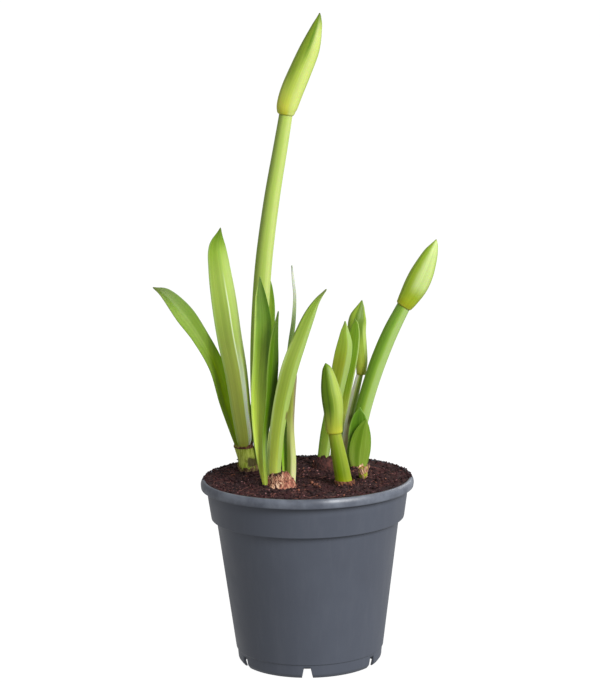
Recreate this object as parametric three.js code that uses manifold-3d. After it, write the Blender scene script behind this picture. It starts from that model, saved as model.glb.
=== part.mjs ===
import * as THREE from 'three';
import { mergeVertices } from 'three/addons/utils/BufferGeometryUtils.js';
import Module from 'manifold-3d';

// A potted multiflora amaryllis: three bulbs in a 15 cm nursery pot, in leaf and in closed bud.
// Millimetres, +Z up. The origin is the centre of the pot's underside, on the ground.
// +X is to the right and -Y towards the front of the plant.

// Driving dimensions of the pot
const rimRadius = 75;
const potHeight = 131;
const wall = 1.3;
const footRadius = 51.2;
const footHeight = 9.5;
const wallHeadRadius = 64.3;
const ledgeHeight = 102.9;
const collarFootRadius = 68;
const collarHeadRadius = 70;
const collarHeight = 118;
const lipFoot = 124.4;
const padRadius = 27;
const gutterHeight = 5;
const potSides = 40;

// Drainage slots round the foot
const slotCount = 6;
const slotHeight = 7.6;
const slotFootWidth = 8.1;
const slotHeadWidth = 4.6;
const slotInnerRadius = 38;
const slotOffset = 2.3;

// The peat is filled flush with the rim at the wall and has settled a little in the middle
const soilEdgeRadius = 71.6;
const soilEdgeHeight = 130.3;
const soilDish = 1.2;
const soilRings = 9;

// Clearance between neighbouring pieces, and the least thickness of a leaf's edge
const gap = 0.3;
const leafEdge = 0.7;
const tipWidth = 1.2;

const wasm = await Module();
wasm.setup();

// A closed geometry as a solid: shared corners merged, faces with no area left out.
function solidOf(geometry) {
  geometry.deleteAttribute('normal');
  geometry.deleteAttribute('uv');
  const merged = mergeVertices(geometry, 1e-4);
  const corners = merged.index.array;
  const kept = [];
  for (let i = 0; i < corners.length; i += 3) {
    const [a, b, c] = corners.slice(i, i + 3);
    if (a !== b && b !== c && c !== a) kept.push(a, b, c);
  }
  const vertProperties = Float32Array.from(merged.attributes.position.array);
  return new wasm.Manifold(new wasm.Mesh({ numProp: 3, vertProperties, triVerts: Uint32Array.from(kept) }));
}

// A solid back as geometry. A crumb that a cut leaves loose is dropped.
function geometryOf(body) {
  const whole = body.decompose().sort((a, b) => b.volume() - a.volume())[0];
  const { vertProperties, triVerts } = whole.getMesh();
  const geometry = new THREE.BufferGeometry();
  geometry.setAttribute('position', new THREE.BufferAttribute(Float32Array.from(vertProperties), 3));
  geometry.setIndex(Array.from(triVerts));
  geometry.computeVertexNormals();
  return geometry;
}

const joined = (bodies) => bodies.reduce((sum, body) => sum.add(body));
const cutBy = (body, tools) => tools.reduce((rest, tool) => rest.subtract(tool), body);

// Position, tangent and the numbers that ride along it, at t from 0 to 1 on a spine of
// stations [x, y, z, value, value...].
function spineOf(stations) {
  const path = new THREE.CatmullRomCurve3(stations.map(([x, y, z]) => new THREE.Vector3(x, y, z)),
    false, 'catmullrom', 0.5);
  const values = stations[0].slice(3).map((_, column) => new THREE.SplineCurve(
    stations.map((station, i) => new THREE.Vector2(i, station[3 + column]))));
  return (t) => ({
    centre: path.getPoint(t),
    along: path.getTangent(t),
    values: values.map((curve) => curve.getPoint(t).y),
  });
}

// The section plane across a spine: right is across it as seen from the front, back is away from
// the front, and roll turns both about the spine, right edge backwards.
function sectionPlane(along, roll) {
  const front = new THREE.Vector3(0, -1, 0);
  const right = new THREE.Vector3().crossVectors(along, front).normalize();
  right.applyAxisAngle(along, THREE.MathUtils.degToRad(roll));
  return { right, back: new THREE.Vector3().crossVectors(along, right) };
}

// Skin over a stack of rings with the same even number of corners, closed at both ends.
// Corner k faces corner n-1-k. The second half of a ring is split along the diagonals that the
// first half has, so that the two faces of a thin blade stay apart.
function loft(rings) {
  const count = rings[0].length;
  const half = count / 2;
  const positions = rings.flat().flatMap((corner) => corner.toArray());
  const faces = [];
  for (let i = 0; i < rings.length - 1; i++) {
    for (let k = 0; k < count; k++) {
      const a = i * count + k;
      const b = i * count + (k + 1) % count;
      const [c, d] = [b + count, a + count];
      if (k < half) faces.push(a, b, c, a, c, d);
      else faces.push(a, b, d, b, c, d);
    }
  }
  const last = (rings.length - 1) * count;
  for (let k = 0; k < half - 1; k++) {
    const [a, b, c, d] = [k, k + 1, count - 2 - k, count - 1 - k];
    faces.push(a, c, b, a, d, c);
    faces.push(last + a, last + b, last + c, last + a, last + c, last + d);
  }
  const geometry = new THREE.BufferGeometry();
  geometry.setAttribute('position', new THREE.BufferAttribute(Float32Array.from(positions), 3));
  geometry.setIndex(faces);
  return solidOf(geometry);
}

// A ring of section points laid in its plane, moved along the spine by shift.
function ringAt({ centre, along }, { right, back }, outline, shift = 0) {
  return outline.map(([a, b]) => centre.clone().addScaledVector(right, a).addScaledVector(back, b)
    .addScaledVector(along, shift));
}

// How far the first and the last ring move outwards when a shape is grown.
const endShift = (i, steps, grow) => (i === 0 ? -grow : 0) + (i === steps ? grow : 0);

// A strap leaf. Its stations are [x, y, z, width]. fold bends both halves towards the front
// (positive, a channel) or away from it (negative, a keel), roll turns the leaf about its length,
// and both run from foot to tip. grow makes the same leaf that much fatter all round.
function leaf({ stations, fold, roll, thick = 1.8, steps = 12 }, grow = 0) {
  const spine = spineOf(stations);
  const across = [-1, -0.5, 0, 0.5, 1];
  const rings = [];
  for (let i = 0; i <= steps; i++) {
    const t = i / steps;
    const at = spine(t);
    const halfWidth = Math.max(at.values[0], tipWidth) / 2 + grow;
    const bend = THREE.MathUtils.degToRad(THREE.MathUtils.lerp(fold[0], fold[1], t));
    const middle = THREE.MathUtils.lerp(thick, 0.65 * thick, t);
    const line = across.map((u) => ({
      a: halfWidth * u * Math.cos(bend),
      b: -halfWidth * Math.abs(u) ** 1.4 * Math.sin(bend),
      h: (leafEdge + (middle - leafEdge) * (1 - u * u)) / 2 + grow,
    }));
    const faceNear = line.map(({ a, b, h }) => [a, b - h]);
    const faceFar = line.map(({ a, b, h }) => [a, b + h]).reverse();
    const plane = sectionPlane(at.along, THREE.MathUtils.lerp(roll[0], roll[1], t));
    rings.push(ringAt(at, plane, [...faceNear, ...faceFar], endShift(i, steps, grow)));
  }
  return loft(rings);
}

// A round or oval stem, neck or bulb. Its stations are [x, y, z, width] or
// [x, y, z, width, depth]; with no depth it is width times flat. The rings of a level one, such as
// a bulb, stay horizontal.
function stem({ stations, sides = 12, flat = 1, steps = 8, level = false }, grow = 0) {
  const spine = spineOf(stations);
  const rings = [];
  for (let i = 0; i <= steps; i++) {
    const at = spine(i / steps);
    if (level) at.along.set(0, 0, 1);
    const [width, depth = width * flat] = at.values;
    const outline = Array.from({ length: sides }, (_, k) => {
      const turn = -Math.PI + (k + 0.5) * 2 * Math.PI / sides;
      return [(width / 2 + grow) * Math.cos(turn), (depth / 2 + grow) * Math.sin(turn)];
    });
    rings.push(ringAt(at, sectionPlane(at.along, 0), outline, endShift(i, steps, grow)));
  }
  return loft(rings);
}

// A closed bud: two papery valves that meet along a seam on either side. The seams are shallow
// furrows, and seam is the direction of the near one, in degrees round from the front.
function bud({ stations, seam, flat = 0.88, steps = 10, sides = 14 }, grow = 0) {
  const spine = spineOf(stations);
  const furrow = 0.06;
  const rings = [];
  for (let i = 0; i <= steps; i++) {
    const at = spine(i / steps);
    const width = Math.max(at.values[0], tipWidth);
    const outline = Array.from({ length: sides }, (_, k) => {
      const turn = -Math.PI + (k + 0.5) * 2 * Math.PI / sides;
      const fromSeam = Math.cos(turn + Math.PI / 2 - THREE.MathUtils.degToRad(seam));
      const shrink = 1 - furrow * fromSeam ** 16;
      const [halfWidth, halfDepth] = [shrink * width / 2 + grow, shrink * flat * width / 2 + grow];
      return [halfWidth * Math.cos(turn), halfDepth * Math.sin(turn)];
    });
    rings.push(ringAt(at, sectionPlane(at.along, 0), outline, endShift(i, steps, grow)));
  }
  return loft(rings);
}

// The old shoot's stub: a short tube with a ragged dry mouth, open at the top.
function stub({ foot, head, radius, flare, depth, sides = 10 }, grow = 0) {
  const base = new THREE.Vector3(...foot);
  const mouth = new THREE.Vector3(...head);
  const along = mouth.clone().sub(base).normalize();
  const plane = sectionPlane(along, 0);
  const circle = (r) => Array.from({ length: sides }, (_, k) => {
    const turn = -Math.PI + (k + 0.5) * 2 * Math.PI / sides;
    return [r * Math.cos(turn), r * Math.sin(turn)];
  });
  const ring = (centre, r, ragged) => ringAt({ centre, along }, plane, circle(r))
    .map((corner, k) => corner.addScaledVector(along, ragged * Math.sin(k * 2.4)));
  const inside = mouth.clone().addScaledVector(along, -depth);
  return loft([
    ring(base.clone().addScaledVector(along, -grow), radius + grow, 0),
    ring(base.clone().lerp(mouth, 0.5), radius + grow, 0),
    ring(mouth, flare + grow, 1),
    ...(grow ? [] : [ring(mouth, flare - 1, 1), ring(inside, radius - 1.4, 0)]),
  ]);
}

// Thick roots that fan out from under a bulb's basal plate and curve down into the peat.
function roots({ from, count, reach, bottom, turn }, grow = 0) {
  const [x, y, z] = from;
  return Array.from({ length: count }, (_, i) => {
    const angle = THREE.MathUtils.degToRad(turn + i * 360 / count);
    const drop = bottom + 9 * ((i * 0.618) % 1);
    const at = (r, height, width) => [x + r * Math.cos(angle), y + r * Math.sin(angle), height, width];
    const stations = [
      at(2.5, z + 5, 4), at(5, z - 8, 3.6), at(reach, (z + drop) / 2, 3.2), at(reach - 1, drop, 2),
    ];
    return stem({ stations, sides: 6, steps: 3 }, grow);
  });
}

// Pot: one wall from the foot to the lip, the floor a flat pad with a raised gutter round it. The collar
// stands out over the wall on a flat ledge. The lip turns down outside it as a skirt, hollow below.
function pot() {
  const floorTop = gutterHeight + 1.4;
  const profile = [
    [0, 0], [padRadius, 0], [padRadius + 4, gutterHeight], [footRadius - 1.9, gutterHeight],
    [footRadius - 3.6, 0], [footRadius - 2.3, 0], [footRadius - 0.5, 2.4],
    [footRadius + 0.1, footHeight], [footRadius + 0.9, footHeight + 0.6],
    [wallHeadRadius, ledgeHeight - 0.5], [collarFootRadius - 0.4, ledgeHeight],
    [collarFootRadius, ledgeHeight + 0.7], [collarHeadRadius, collarHeight],
    [collarHeadRadius + 0.4, lipFoot + 1.6], [rimRadius - 1.5, lipFoot + 4],
    [rimRadius - 1.1, lipFoot], [rimRadius - 0.1, lipFoot], [rimRadius, potHeight - 2.8],
    [rimRadius - 0.6, potHeight - 1], [rimRadius - 1.7, potHeight], [rimRadius - 2.4, potHeight],
    [rimRadius - 2.9, potHeight - 0.6], [collarHeadRadius + 0.5 - wall, lipFoot + 2],
    [collarHeadRadius - wall, collarHeight], [collarFootRadius - wall, ledgeHeight + 1.5],
    [wallHeadRadius - wall, ledgeHeight + 1], [footRadius + 0.9 - wall, footHeight + 0.6],
    [footRadius - wall, floorTop], [padRadius + 3.3, floorTop], [padRadius - 0.7, 1.4], [0, 1.4],
  ].map(([r, z]) => new THREE.Vector2(r, z));
  const body = solidOf(new THREE.LatheGeometry(profile, potSides).rotateX(Math.PI / 2));
  return cutBy(body, slots());
}

// Drainage slots: wedges that notch the foot from below and run in under the gutter
function slots() {
  const outline = new THREE.Shape([
    new THREE.Vector2(-slotFootWidth / 2, -1), new THREE.Vector2(slotFootWidth / 2, -1),
    new THREE.Vector2(slotHeadWidth / 2, slotHeight), new THREE.Vector2(-slotHeadWidth / 2, slotHeight),
  ]);
  const up = new THREE.Vector3(0, 0, 1);
  return Array.from({ length: slotCount }, (_, i) => {
    const angle = THREE.MathUtils.degToRad(i * 360 / slotCount - slotOffset);
    const outward = new THREE.Vector3(Math.sin(angle), -Math.cos(angle), 0);
    const sideways = new THREE.Vector3().crossVectors(up, outward);
    const place = new THREE.Matrix4().makeBasis(sideways, up, outward)
      .setPosition(outward.clone().multiplyScalar(slotInnerRadius));
    const depth = footRadius + 5 - slotInnerRadius;
    const wedge = new THREE.ExtrudeGeometry(outline, { depth, bevelEnabled: false });
    return solidOf(wedge.applyMatrix4(place));
  });
}

// Height of the loose peat over a point: a shallow dish, banked up round the right bulb's shoots,
// with crumbs as sums of waves
function peatHeight(x, y) {
  const edge = Math.min(1, Math.hypot(x, y) / soilEdgeRadius);
  const bank = 2.4 * Math.exp(-((x - 36) ** 2 + (y - 24) ** 2) / 220);
  const sideways = Math.sin(0.83 * x + 1.7 * Math.sin(0.37 * y));
  const lengthways = Math.sin(0.71 * y + 1.3 * Math.sin(0.29 * x));
  const smallCrumbs = Math.sin(1.9 * x - 1.1 * y) * Math.sin(1.3 * x + 1.7 * y);
  const crumbs = 0.45 * sideways * lengthways + 0.3 * smallCrumbs;
  return soilEdgeHeight - soilDish * (1 - edge ** 2) + (bank + crumbs) * (1 - edge ** 6);
}

// Peat: fills the pot from its floor to the rim
function peat() {
  const floorTop = gutterHeight + 1.4 + gap;
  const profile = [
    [0, 1.4 + gap], [padRadius - 1, 1.4 + gap], [padRadius + 3, floorTop],
    [footRadius - wall - gap, floorTop], [footRadius + 0.9 - wall - gap, footHeight + 0.6],
    [wallHeadRadius - wall - gap, ledgeHeight + 1.4], [collarFootRadius - wall - gap, ledgeHeight + 1.9],
    [collarHeadRadius - wall - gap, collarHeight], [collarHeadRadius + 0.5 - wall - gap, lipFoot + 2.2],
  ];
  for (let ring = soilRings; ring >= 0; ring--) {
    profile.push([soilEdgeRadius * ring / soilRings, soilEdgeHeight]);
  }
  const geometry = new THREE.LatheGeometry(profile.map(([r, z]) => new THREE.Vector2(r, z)), potSides)
    .rotateX(Math.PI / 2);
  const corner = geometry.attributes.position;
  for (let i = 0; i < corner.count; i++) {
    if (corner.getZ(i) > soilEdgeHeight - 0.1) corner.setZ(i, peatHeight(corner.getX(i), corner.getY(i)));
  }
  return solidOf(geometry);
}

// The back left bulb leans outwards: basal plate, body, shoulder and a green neck above the peat
const bulbBackLeft = {
  level: true, steps: 10,
  stations: [
    [-27, 20, 64, 14, 14], [-27, 20, 69, 26, 26], [-28, 21, 82, 38, 38], [-29, 22, 96, 40, 40],
    [-31.5, 24, 108, 37, 37], [-35, 27, 117.5, 29, 29], [-38.8, 29.8, 124.5, 20, 20],
    [-41.2, 31, 130, 14.5, 14.5], [-43.2, 31.7, 138, 12.9, 12.9], [-45.5, 32, 147.5, 13.6, 13.6],
  ],
};

// The front left bulb stands upright, its scaly shoulder clear of the peat
const bulbFrontLeft = {
  level: true, sides: 14, steps: 10,
  stations: [
    [-14, -19, 62, 15, 15], [-14, -19, 67, 30, 30], [-14.5, -20, 80, 42, 42], [-15, -21, 96, 47, 47],
    [-15.5, -21.5, 108, 45, 45], [-17, -22, 118, 36, 40], [-18.2, -22.5, 125, 25, 33],
    [-18.4, -23, 130.5, 19.5, 27], [-19, -21.5, 134.5, 15.5, 21], [-19.6, -19.8, 138, 10, 13.5],
  ],
};

// The right bulb is nearly buried. A daughter bulb has grown fast to its side.
const bulbRight = {
  level: true, sides: 14, steps: 9,
  stations: [
    [20, 24, 62, 16, 16], [20, 24, 67, 34, 34], [20.5, 25, 82, 48, 48], [21, 26, 97, 52, 52],
    [21.5, 28.5, 110, 48, 48], [21.5, 31, 118.5, 41, 41], [19.5, 34, 125.5, 32, 32],
    [15.5, 36, 130.5, 22, 21], [13.5, 36.5, 134, 17, 15], [13, 36.5, 136.8, 12, 10],
  ],
};
const bulbDaughter = {
  level: true, steps: 6,
  stations: [
    [30, -1, 72, 10, 10], [31, -5, 82, 24, 24], [31.5, -8, 97, 31, 31], [32, -10, 110, 30, 30],
    [32, -11, 120, 26, 26], [32, -11.5, 125.5, 20, 20], [31, -12, 128, 9, 9],
  ],
};

const rootSets = {
  bulb_back_left: { from: [-27, 20, 64], count: 5, reach: 11, bottom: 22, turn: 20 },
  bulb_front_left: { from: [-14, -19, 62], count: 6, reach: 13, bottom: 18, turn: 50 },
  bulb_right: { from: [20, 24, 62], count: 6, reach: 13, bottom: 20, turn: 10 },
};

// Dry brown tunic that stands up round the short scape's foot
const collarShort = {
  sides: 12, steps: 2,
  stations: [[27.1, -20.5, 121.2, 14.9], [26.3, -20.5, 128, 13.7], [25.7, -20.5, 132.5, 13.1]],
};

// Leaves, foot to tip, as [x, y, z, width]
const leaves = {
  leaf_left_arched: {
    colour: 0x7fa338, fold: [30, 16], roll: [25, 35],
    stations: [
      [-48.6, 34, 142.5, 4.2], [-52, 36, 155, 7.6], [-58.2, 38.5, 178, 12.6], [-64.9, 38, 204, 13.5],
      [-76, 34.5, 226.5, 14.4], [-86.7, 31, 243, 16], [-97.8, 29, 257, 10], [-107, 28, 263, 1],
    ],
  },
  leaf_left_upright: {
    colour: 0x9dbb55, fold: [-32, -22], roll: [38, 25], thick: 2.2, steps: 14,
    stations: [
      [-44.2, 30.4, 143, 9.6], [-42.1, 27.4, 153, 15.6], [-43.8, 26.8, 172, 18.4], [-46.9, 28.5, 200, 20.9],
      [-51.2, 30.2, 226, 22.5], [-54.7, 31.5, 252, 22.2], [-58.1, 33, 275, 18.9], [-59.9, 34, 291, 14],
      [-58.4, 35, 304, 1],
    ],
  },
  leaf_left_rear: {
    colour: 0x86a83e, fold: [15, 12], roll: [0, 0],
    stations: [
      [-42.2, 35.8, 142.5, 4], [-39.6, 40.8, 155, 6.2], [-35, 44.6, 178, 9.3], [-29.3, 46, 211, 11],
      [-25.6, 46, 240, 9.2], [-25.1, 46, 258, 5.8], [-26, 46, 271, 1],
    ],
  },
  leaf_front_broad: {
    colour: 0x7aa53c, fold: [25, 16], roll: [0, 0],
    stations: [
      [-29.4, -25, 127, 1.4], [-31.6, -22.5, 145, 5.2], [-33, -19, 165, 8.2], [-32.8, -17, 190, 10.8],
      [-30.2, -15.5, 218, 12.3], [-28.7, -14.5, 241, 12.6], [-29.7, -13.5, 260, 8], [-30.2, -12.5, 274, 1],
    ],
  },
  leaf_front_dark: {
    colour: 0x4f7420, fold: [25, 22], roll: [30, 35], steps: 12,
    stations: [
      [-28.6, -29, 127, 2.6], [-29.1, -27.2, 145, 4], [-29, -22.3, 165, 5], [-25.2, -21.6, 190, 8.9],
      [-23.2, -22.5, 213, 9.9], [-21.3, -23.5, 234, 6.4], [-17.8, -24, 251.5, 1],
    ],
  },
  leaf_front_curved: {
    colour: 0x97b44e, fold: [-28, -14], roll: [18, 24], thick: 2.2, steps: 14,
    stations: [
      [-22.1, -19.5, 133.5, 10.4], [-21.6, -21.5, 146, 11.4], [-19.4, -25.4, 168, 12],
      [-15.5, -26.5, 190, 13], [-9.9, -28.5, 212, 13.6], [-3.2, -28.5, 230.5, 11.9],
      [3.4, -27.3, 247, 9.1], [8.9, -26, 258, 4.6], [15.3, -25, 266, 1],
    ],
  },
  leaf_front_edgewise: {
    colour: 0x8fae5a, fold: [15, 12], roll: [45, 68], thick: 1.6,
    stations: [
      [-15.7, -12, 127, 5.6], [-15.4, -10, 150, 7.8], [-14.3, -9, 180, 8.6], [-12.9, -10, 206, 7.4],
      [-10.6, -10, 226, 6.8], [-7.9, -10, 243, 5.6], [-6.7, -9, 259, 3.8], [-7.7, -8, 271, 3],
      [-8.2, -8, 281, 1],
    ],
  },
  leaf_front_sheath: {
    colour: 0xc3cf8b, fold: [-32, -20], roll: [12, 15], thick: 1.7, steps: 10,
    stations: [
      [-10.9, -15.6, 126, 7.2], [-10.3, -15.4, 145, 7.6], [-10.8, -15, 168, 6], [-9.7, -14.5, 188, 6.2],
      [-8.4, -13.5, 203, 6], [-6.6, -13.5, 212, 1],
    ],
  },
  leaf_right_tall: {
    colour: 0x84a840, fold: [-28, -16], roll: [18, 22],
    stations: [
      [12, 34.5, 132, 10], [14.8, 32.5, 152, 10.4], [18.2, 30, 167, 11.8], [22.9, 26, 189, 13.4],
      [26.9, 22.5, 208, 14.6], [28.7, 21, 220, 12.6], [28.6, 20, 230.5, 6.6], [28.6, 19.5, 238, 1],
    ],
  },
  leaf_right_tall_rear: {
    colour: 0x7a9e3a, fold: [-26, -16], roll: [22, 25],
    stations: [
      [20.6, 40, 132, 8.1], [23.4, 38.5, 156, 9.6], [26.8, 36, 175, 11.1], [30.2, 33.5, 194, 12.2],
      [33.6, 32, 211, 12.1], [35.6, 31, 224, 9.8], [36.3, 30.5, 233, 5.6], [35.9, 30, 238, 1],
    ],
  },
  leaf_right_short: {
    colour: 0x6f9a34, fold: [-16, -10], roll: [5, 5], thick: 2, steps: 10,
    stations: [
      [35.6, 25, 117, 7.2], [36.9, 23, 130, 10.7], [37.4, 22.5, 138, 14.6], [38.3, 22, 146, 15.9],
      [39.7, 21.5, 155, 13.3], [41.4, 21, 162.5, 7], [42.8, 21, 167, 1],
    ],
  },
  leaf_right_short_rear: {
    colour: 0x5f8a2c, fold: [14, 10], roll: [-5, -5], thick: 2, steps: 10,
    stations: [
      [34.2, 29.5, 117, 6], [35.3, 28, 130, 9.8], [36.3, 27.5, 140.5, 13.2], [37.2, 27.5, 150, 15],
      [37.6, 27.5, 160, 14], [38.1, 27.5, 168.5, 9], [38.6, 27.5, 174.5, 1],
    ],
  },
};

// Flower stems, foot to head, as [x, y, z, width]. Each head stands in its bud's socket.
const scapes = {
  scape_tall: {
    colour: 0xa9c063, flat: 0.86, steps: 14,
    stations: [
      [-31.4, 33, 122, 12], [-32.1, 33, 145, 11.9], [-33.4, 32.4, 180, 11.9], [-33.3, 31.2, 212, 11.8],
      [-31.2, 30, 247, 12.2], [-27.8, 29, 283, 11.9], [-21.7, 28, 324, 11.1], [-14.6, 27, 362, 10.1],
      [-10, 26.2, 387, 9.4],
    ],
  },
  scape_leaning: {
    colour: 0x93b04c, flat: 0.86, steps: 10,
    stations: [
      [32.2, 38.5, 124, 11.2], [35.2, 38, 145, 11.2], [40.1, 37, 168, 11.5], [46.2, 35.5, 189, 11.4],
      [53.1, 34, 209, 11.6], [61.6, 32.5, 229, 11.1], [71.9, 31, 249, 9.8],
    ],
  },
  scape_short: {
    colour: 0x9ab653, flat: 0.86, steps: 5,
    stations: [
      [26.4, -20.5, 124.2, 11.9], [25.2, -20.5, 132.1, 11.6], [22.6, -20.5, 148, 10.5],
      [18.8, -20.5, 168.8, 8.5],
    ],
  },
  scape_rear: {
    colour: 0xa5bb6c, flat: 0.86, steps: 7,
    stations: [
      [25.5, 48, 124, 7.4], [28.5, 47.5, 145, 6.8], [31.7, 47, 165, 6.2],
      [35.7, 45.5, 182, 5.8], [39.7, 44, 198, 4.8],
    ],
  },
};

// Closed buds, base to tip, as [x, y, z, width]
const buds = {
  bud_tall: {
    colour: 0x93ad45, seam: 25, stands: 'scape_tall',
    stations: [
      [-10.9, 26.3, 382.8, 11.8], [-9.8, 26, 388.7, 14.8], [-6.3, 26, 399, 16], [-0.3, 26, 412.6, 15.6],
      [6.8, 26, 428.6, 13.7], [11.8, 26, 443.1, 7.5], [13.5, 26, 449.6, 3], [13.9, 26, 452.5, 1],
    ],
  },
  bud_leaning: {
    colour: 0x8dab44, seam: 30, stands: 'scape_leaning',
    stations: [
      [70.2, 31.2, 246.2, 11.8], [73.4, 31, 251, 14], [79.1, 31, 260.6, 17], [84, 31, 270.5, 16.2],
      [89.5, 31, 282.8, 10.9], [92.6, 31, 289.5, 5.3], [94, 31, 293.6, 1],
    ],
  },
  bud_short: {
    colour: 0x86a83c, seam: -20, stands: 'scape_short',
    stations: [
      [19.5, -20.5, 165.3, 11.1], [19, -20.5, 171.8, 12.2], [18.8, -20.5, 180.9, 13.5],
      [18.1, -20.5, 188.7, 14.3], [16.8, -20.5, 196.6, 12.9], [15.7, -20.5, 204.8, 9.8],
      [14.7, -20.5, 211, 6], [13.8, -20.5, 214.5, 1],
    ],
  },
  bud_rear: {
    colour: 0x94af4b, seam: 35, stands: 'scape_rear',
    stations: [
      [40, 44, 195.5, 6.8], [40.4, 44, 204.5, 8.8], [38.7, 44, 215.5, 11.6], [37.3, 44, 226.5, 13.2],
      [38.1, 44, 236.5, 12.3], [40.2, 44, 244.5, 5.8], [41.4, 44, 249.6, 1],
    ],
  },
};

const stubRight = { foot: [39, -5.5, 124], head: [39.3, -5.5, 138], radius: 2.7, flare: 3.3, depth: 5 };

// Every shoot as it is, and grown by the clearance for the pocket that it stands in
const shoots = {};
const pockets = {};
for (const [name, form] of Object.entries(leaves)) {
  shoots[name] = leaf(form);
  pockets[name] = leaf(form, gap);
}
for (const [name, form] of Object.entries(scapes)) {
  shoots[name] = stem(form);
  pockets[name] = stem(form, gap);
}
for (const [name, form] of Object.entries(buds)) {
  shoots[name] = bud(form).subtract(pockets[form.stands]);
}
shoots.stub_right = stub(stubRight);
pockets.stub_right = stub(stubRight, gap);

// Bulbs: body, roots and tunic joined, with a pocket for each shoot that stands in them
const bulbForms = {
  bulb_back_left: [bulbBackLeft],
  bulb_front_left: [bulbFrontLeft],
  bulb_right: [bulbRight, bulbDaughter, collarShort],
};
const bulbs = {};
const bulbPockets = [];
for (const [name, forms] of Object.entries(bulbForms)) {
  const grown = (grow) => joined([...forms.map((form) => stem(form, grow)), ...roots(rootSets[name], grow)]);
  bulbs[name] = cutBy(grown(0), Object.values(pockets));
  bulbPockets.push(grown(2 * gap));
}

const substrate = cutBy(peat(), [...bulbPockets, ...Object.values(pockets)]);

// Finishes: slate grey plastic, dark peat, brown papery bulbs, and a green for each shoot
const finish = (color, roughness) => new THREE.MeshStandardMaterial({ color, roughness, metalness: 0 });
const plant = new THREE.Group();

function place(name, body, material) {
  const mesh = new THREE.Mesh(geometryOf(body), material);
  mesh.name = name;
  plant.add(mesh);
}

place('pot', pot(), finish(0x5a5f68, 0.5));
place('substrate', substrate, finish(0x3b2922, 0.95));
for (const [name, body] of Object.entries(bulbs)) place(name, body, finish(0x8a5f47, 0.8));
for (const [name, form] of Object.entries({ ...leaves, ...scapes, ...buds })) {
  place(name, shoots[name], finish(form.colour, 0.45));
}
place('stub_right', shoots.stub_right, finish(0xa9a457, 0.7));

export default plant;
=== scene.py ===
import bpy
import numpy as np
from mathutils import Euler, Matrix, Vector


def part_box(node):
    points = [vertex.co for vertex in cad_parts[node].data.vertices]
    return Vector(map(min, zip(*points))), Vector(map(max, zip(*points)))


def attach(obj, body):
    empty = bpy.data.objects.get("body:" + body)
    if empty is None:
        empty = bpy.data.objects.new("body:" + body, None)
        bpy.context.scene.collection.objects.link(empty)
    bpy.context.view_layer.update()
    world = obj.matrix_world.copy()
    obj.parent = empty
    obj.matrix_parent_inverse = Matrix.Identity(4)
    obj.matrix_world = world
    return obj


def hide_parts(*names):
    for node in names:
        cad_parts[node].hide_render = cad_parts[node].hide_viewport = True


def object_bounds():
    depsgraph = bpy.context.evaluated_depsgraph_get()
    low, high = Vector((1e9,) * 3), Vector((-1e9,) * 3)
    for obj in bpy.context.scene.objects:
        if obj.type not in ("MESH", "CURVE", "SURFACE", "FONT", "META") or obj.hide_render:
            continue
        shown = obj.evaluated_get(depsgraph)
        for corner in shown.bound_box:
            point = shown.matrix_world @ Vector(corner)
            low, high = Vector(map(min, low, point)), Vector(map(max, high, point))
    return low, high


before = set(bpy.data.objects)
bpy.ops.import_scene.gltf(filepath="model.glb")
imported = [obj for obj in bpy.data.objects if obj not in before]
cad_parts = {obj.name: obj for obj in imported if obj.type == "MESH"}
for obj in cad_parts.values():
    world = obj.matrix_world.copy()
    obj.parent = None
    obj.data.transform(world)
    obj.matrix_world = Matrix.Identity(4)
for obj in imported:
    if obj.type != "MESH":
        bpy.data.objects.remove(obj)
cad_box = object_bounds()

# Pot
# A grower's pot, injection-moulded in one shot from slate-grey polypropylene: a tapered wall on a foot
# ring, a deep collar and a rolled lip. Six slots in the foot let the water out.
mm = 0.001
pot_sides = 256


def rounded(corners, steps=6):
    """A line of corners [radius, height, cut] in millimetres. Each corner is cut back by its own distance
    and bridged by a parabola: (1-s)^2 before + 2s(1-s) corner + s^2 after, for s from 0 to 1."""
    corners = np.array(corners, float) * mm
    spot, cut = corners[:, :2], corners[:, 2:]
    leg = np.diff(spot, axis=0)
    leg /= np.linalg.norm(leg, axis=1, keepdims=True)
    arriving = np.vstack([leg[:1], leg])
    leaving = np.vstack([leg, leg[-1:]])
    s = np.linspace(0, 1, steps)[None, :, None]
    before, after = (spot - cut * arriving)[:, None], (spot + cut * leaving)[:, None]
    return ((1 - s) ** 2 * before + 2 * s * (1 - s) * spot[:, None] + s ** 2 * after).reshape(-1, 2)


def turned(profile, sides):
    """Rings of a turned shape: x is radius times cosine, y radius times sine of the angle round +Z."""
    angle = np.arange(sides) * 2 * np.pi / sides
    radius, height = profile[:, :1], profile[:, 1:]
    return np.stack([radius * np.cos(angle), radius * np.sin(angle), height + 0 * angle], -1)


def placed(name, data):
    """An object made of that data, put into the scene."""
    made = bpy.data.objects.new(name, data)
    bpy.context.scene.collection.objects.link(made)
    return made


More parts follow.
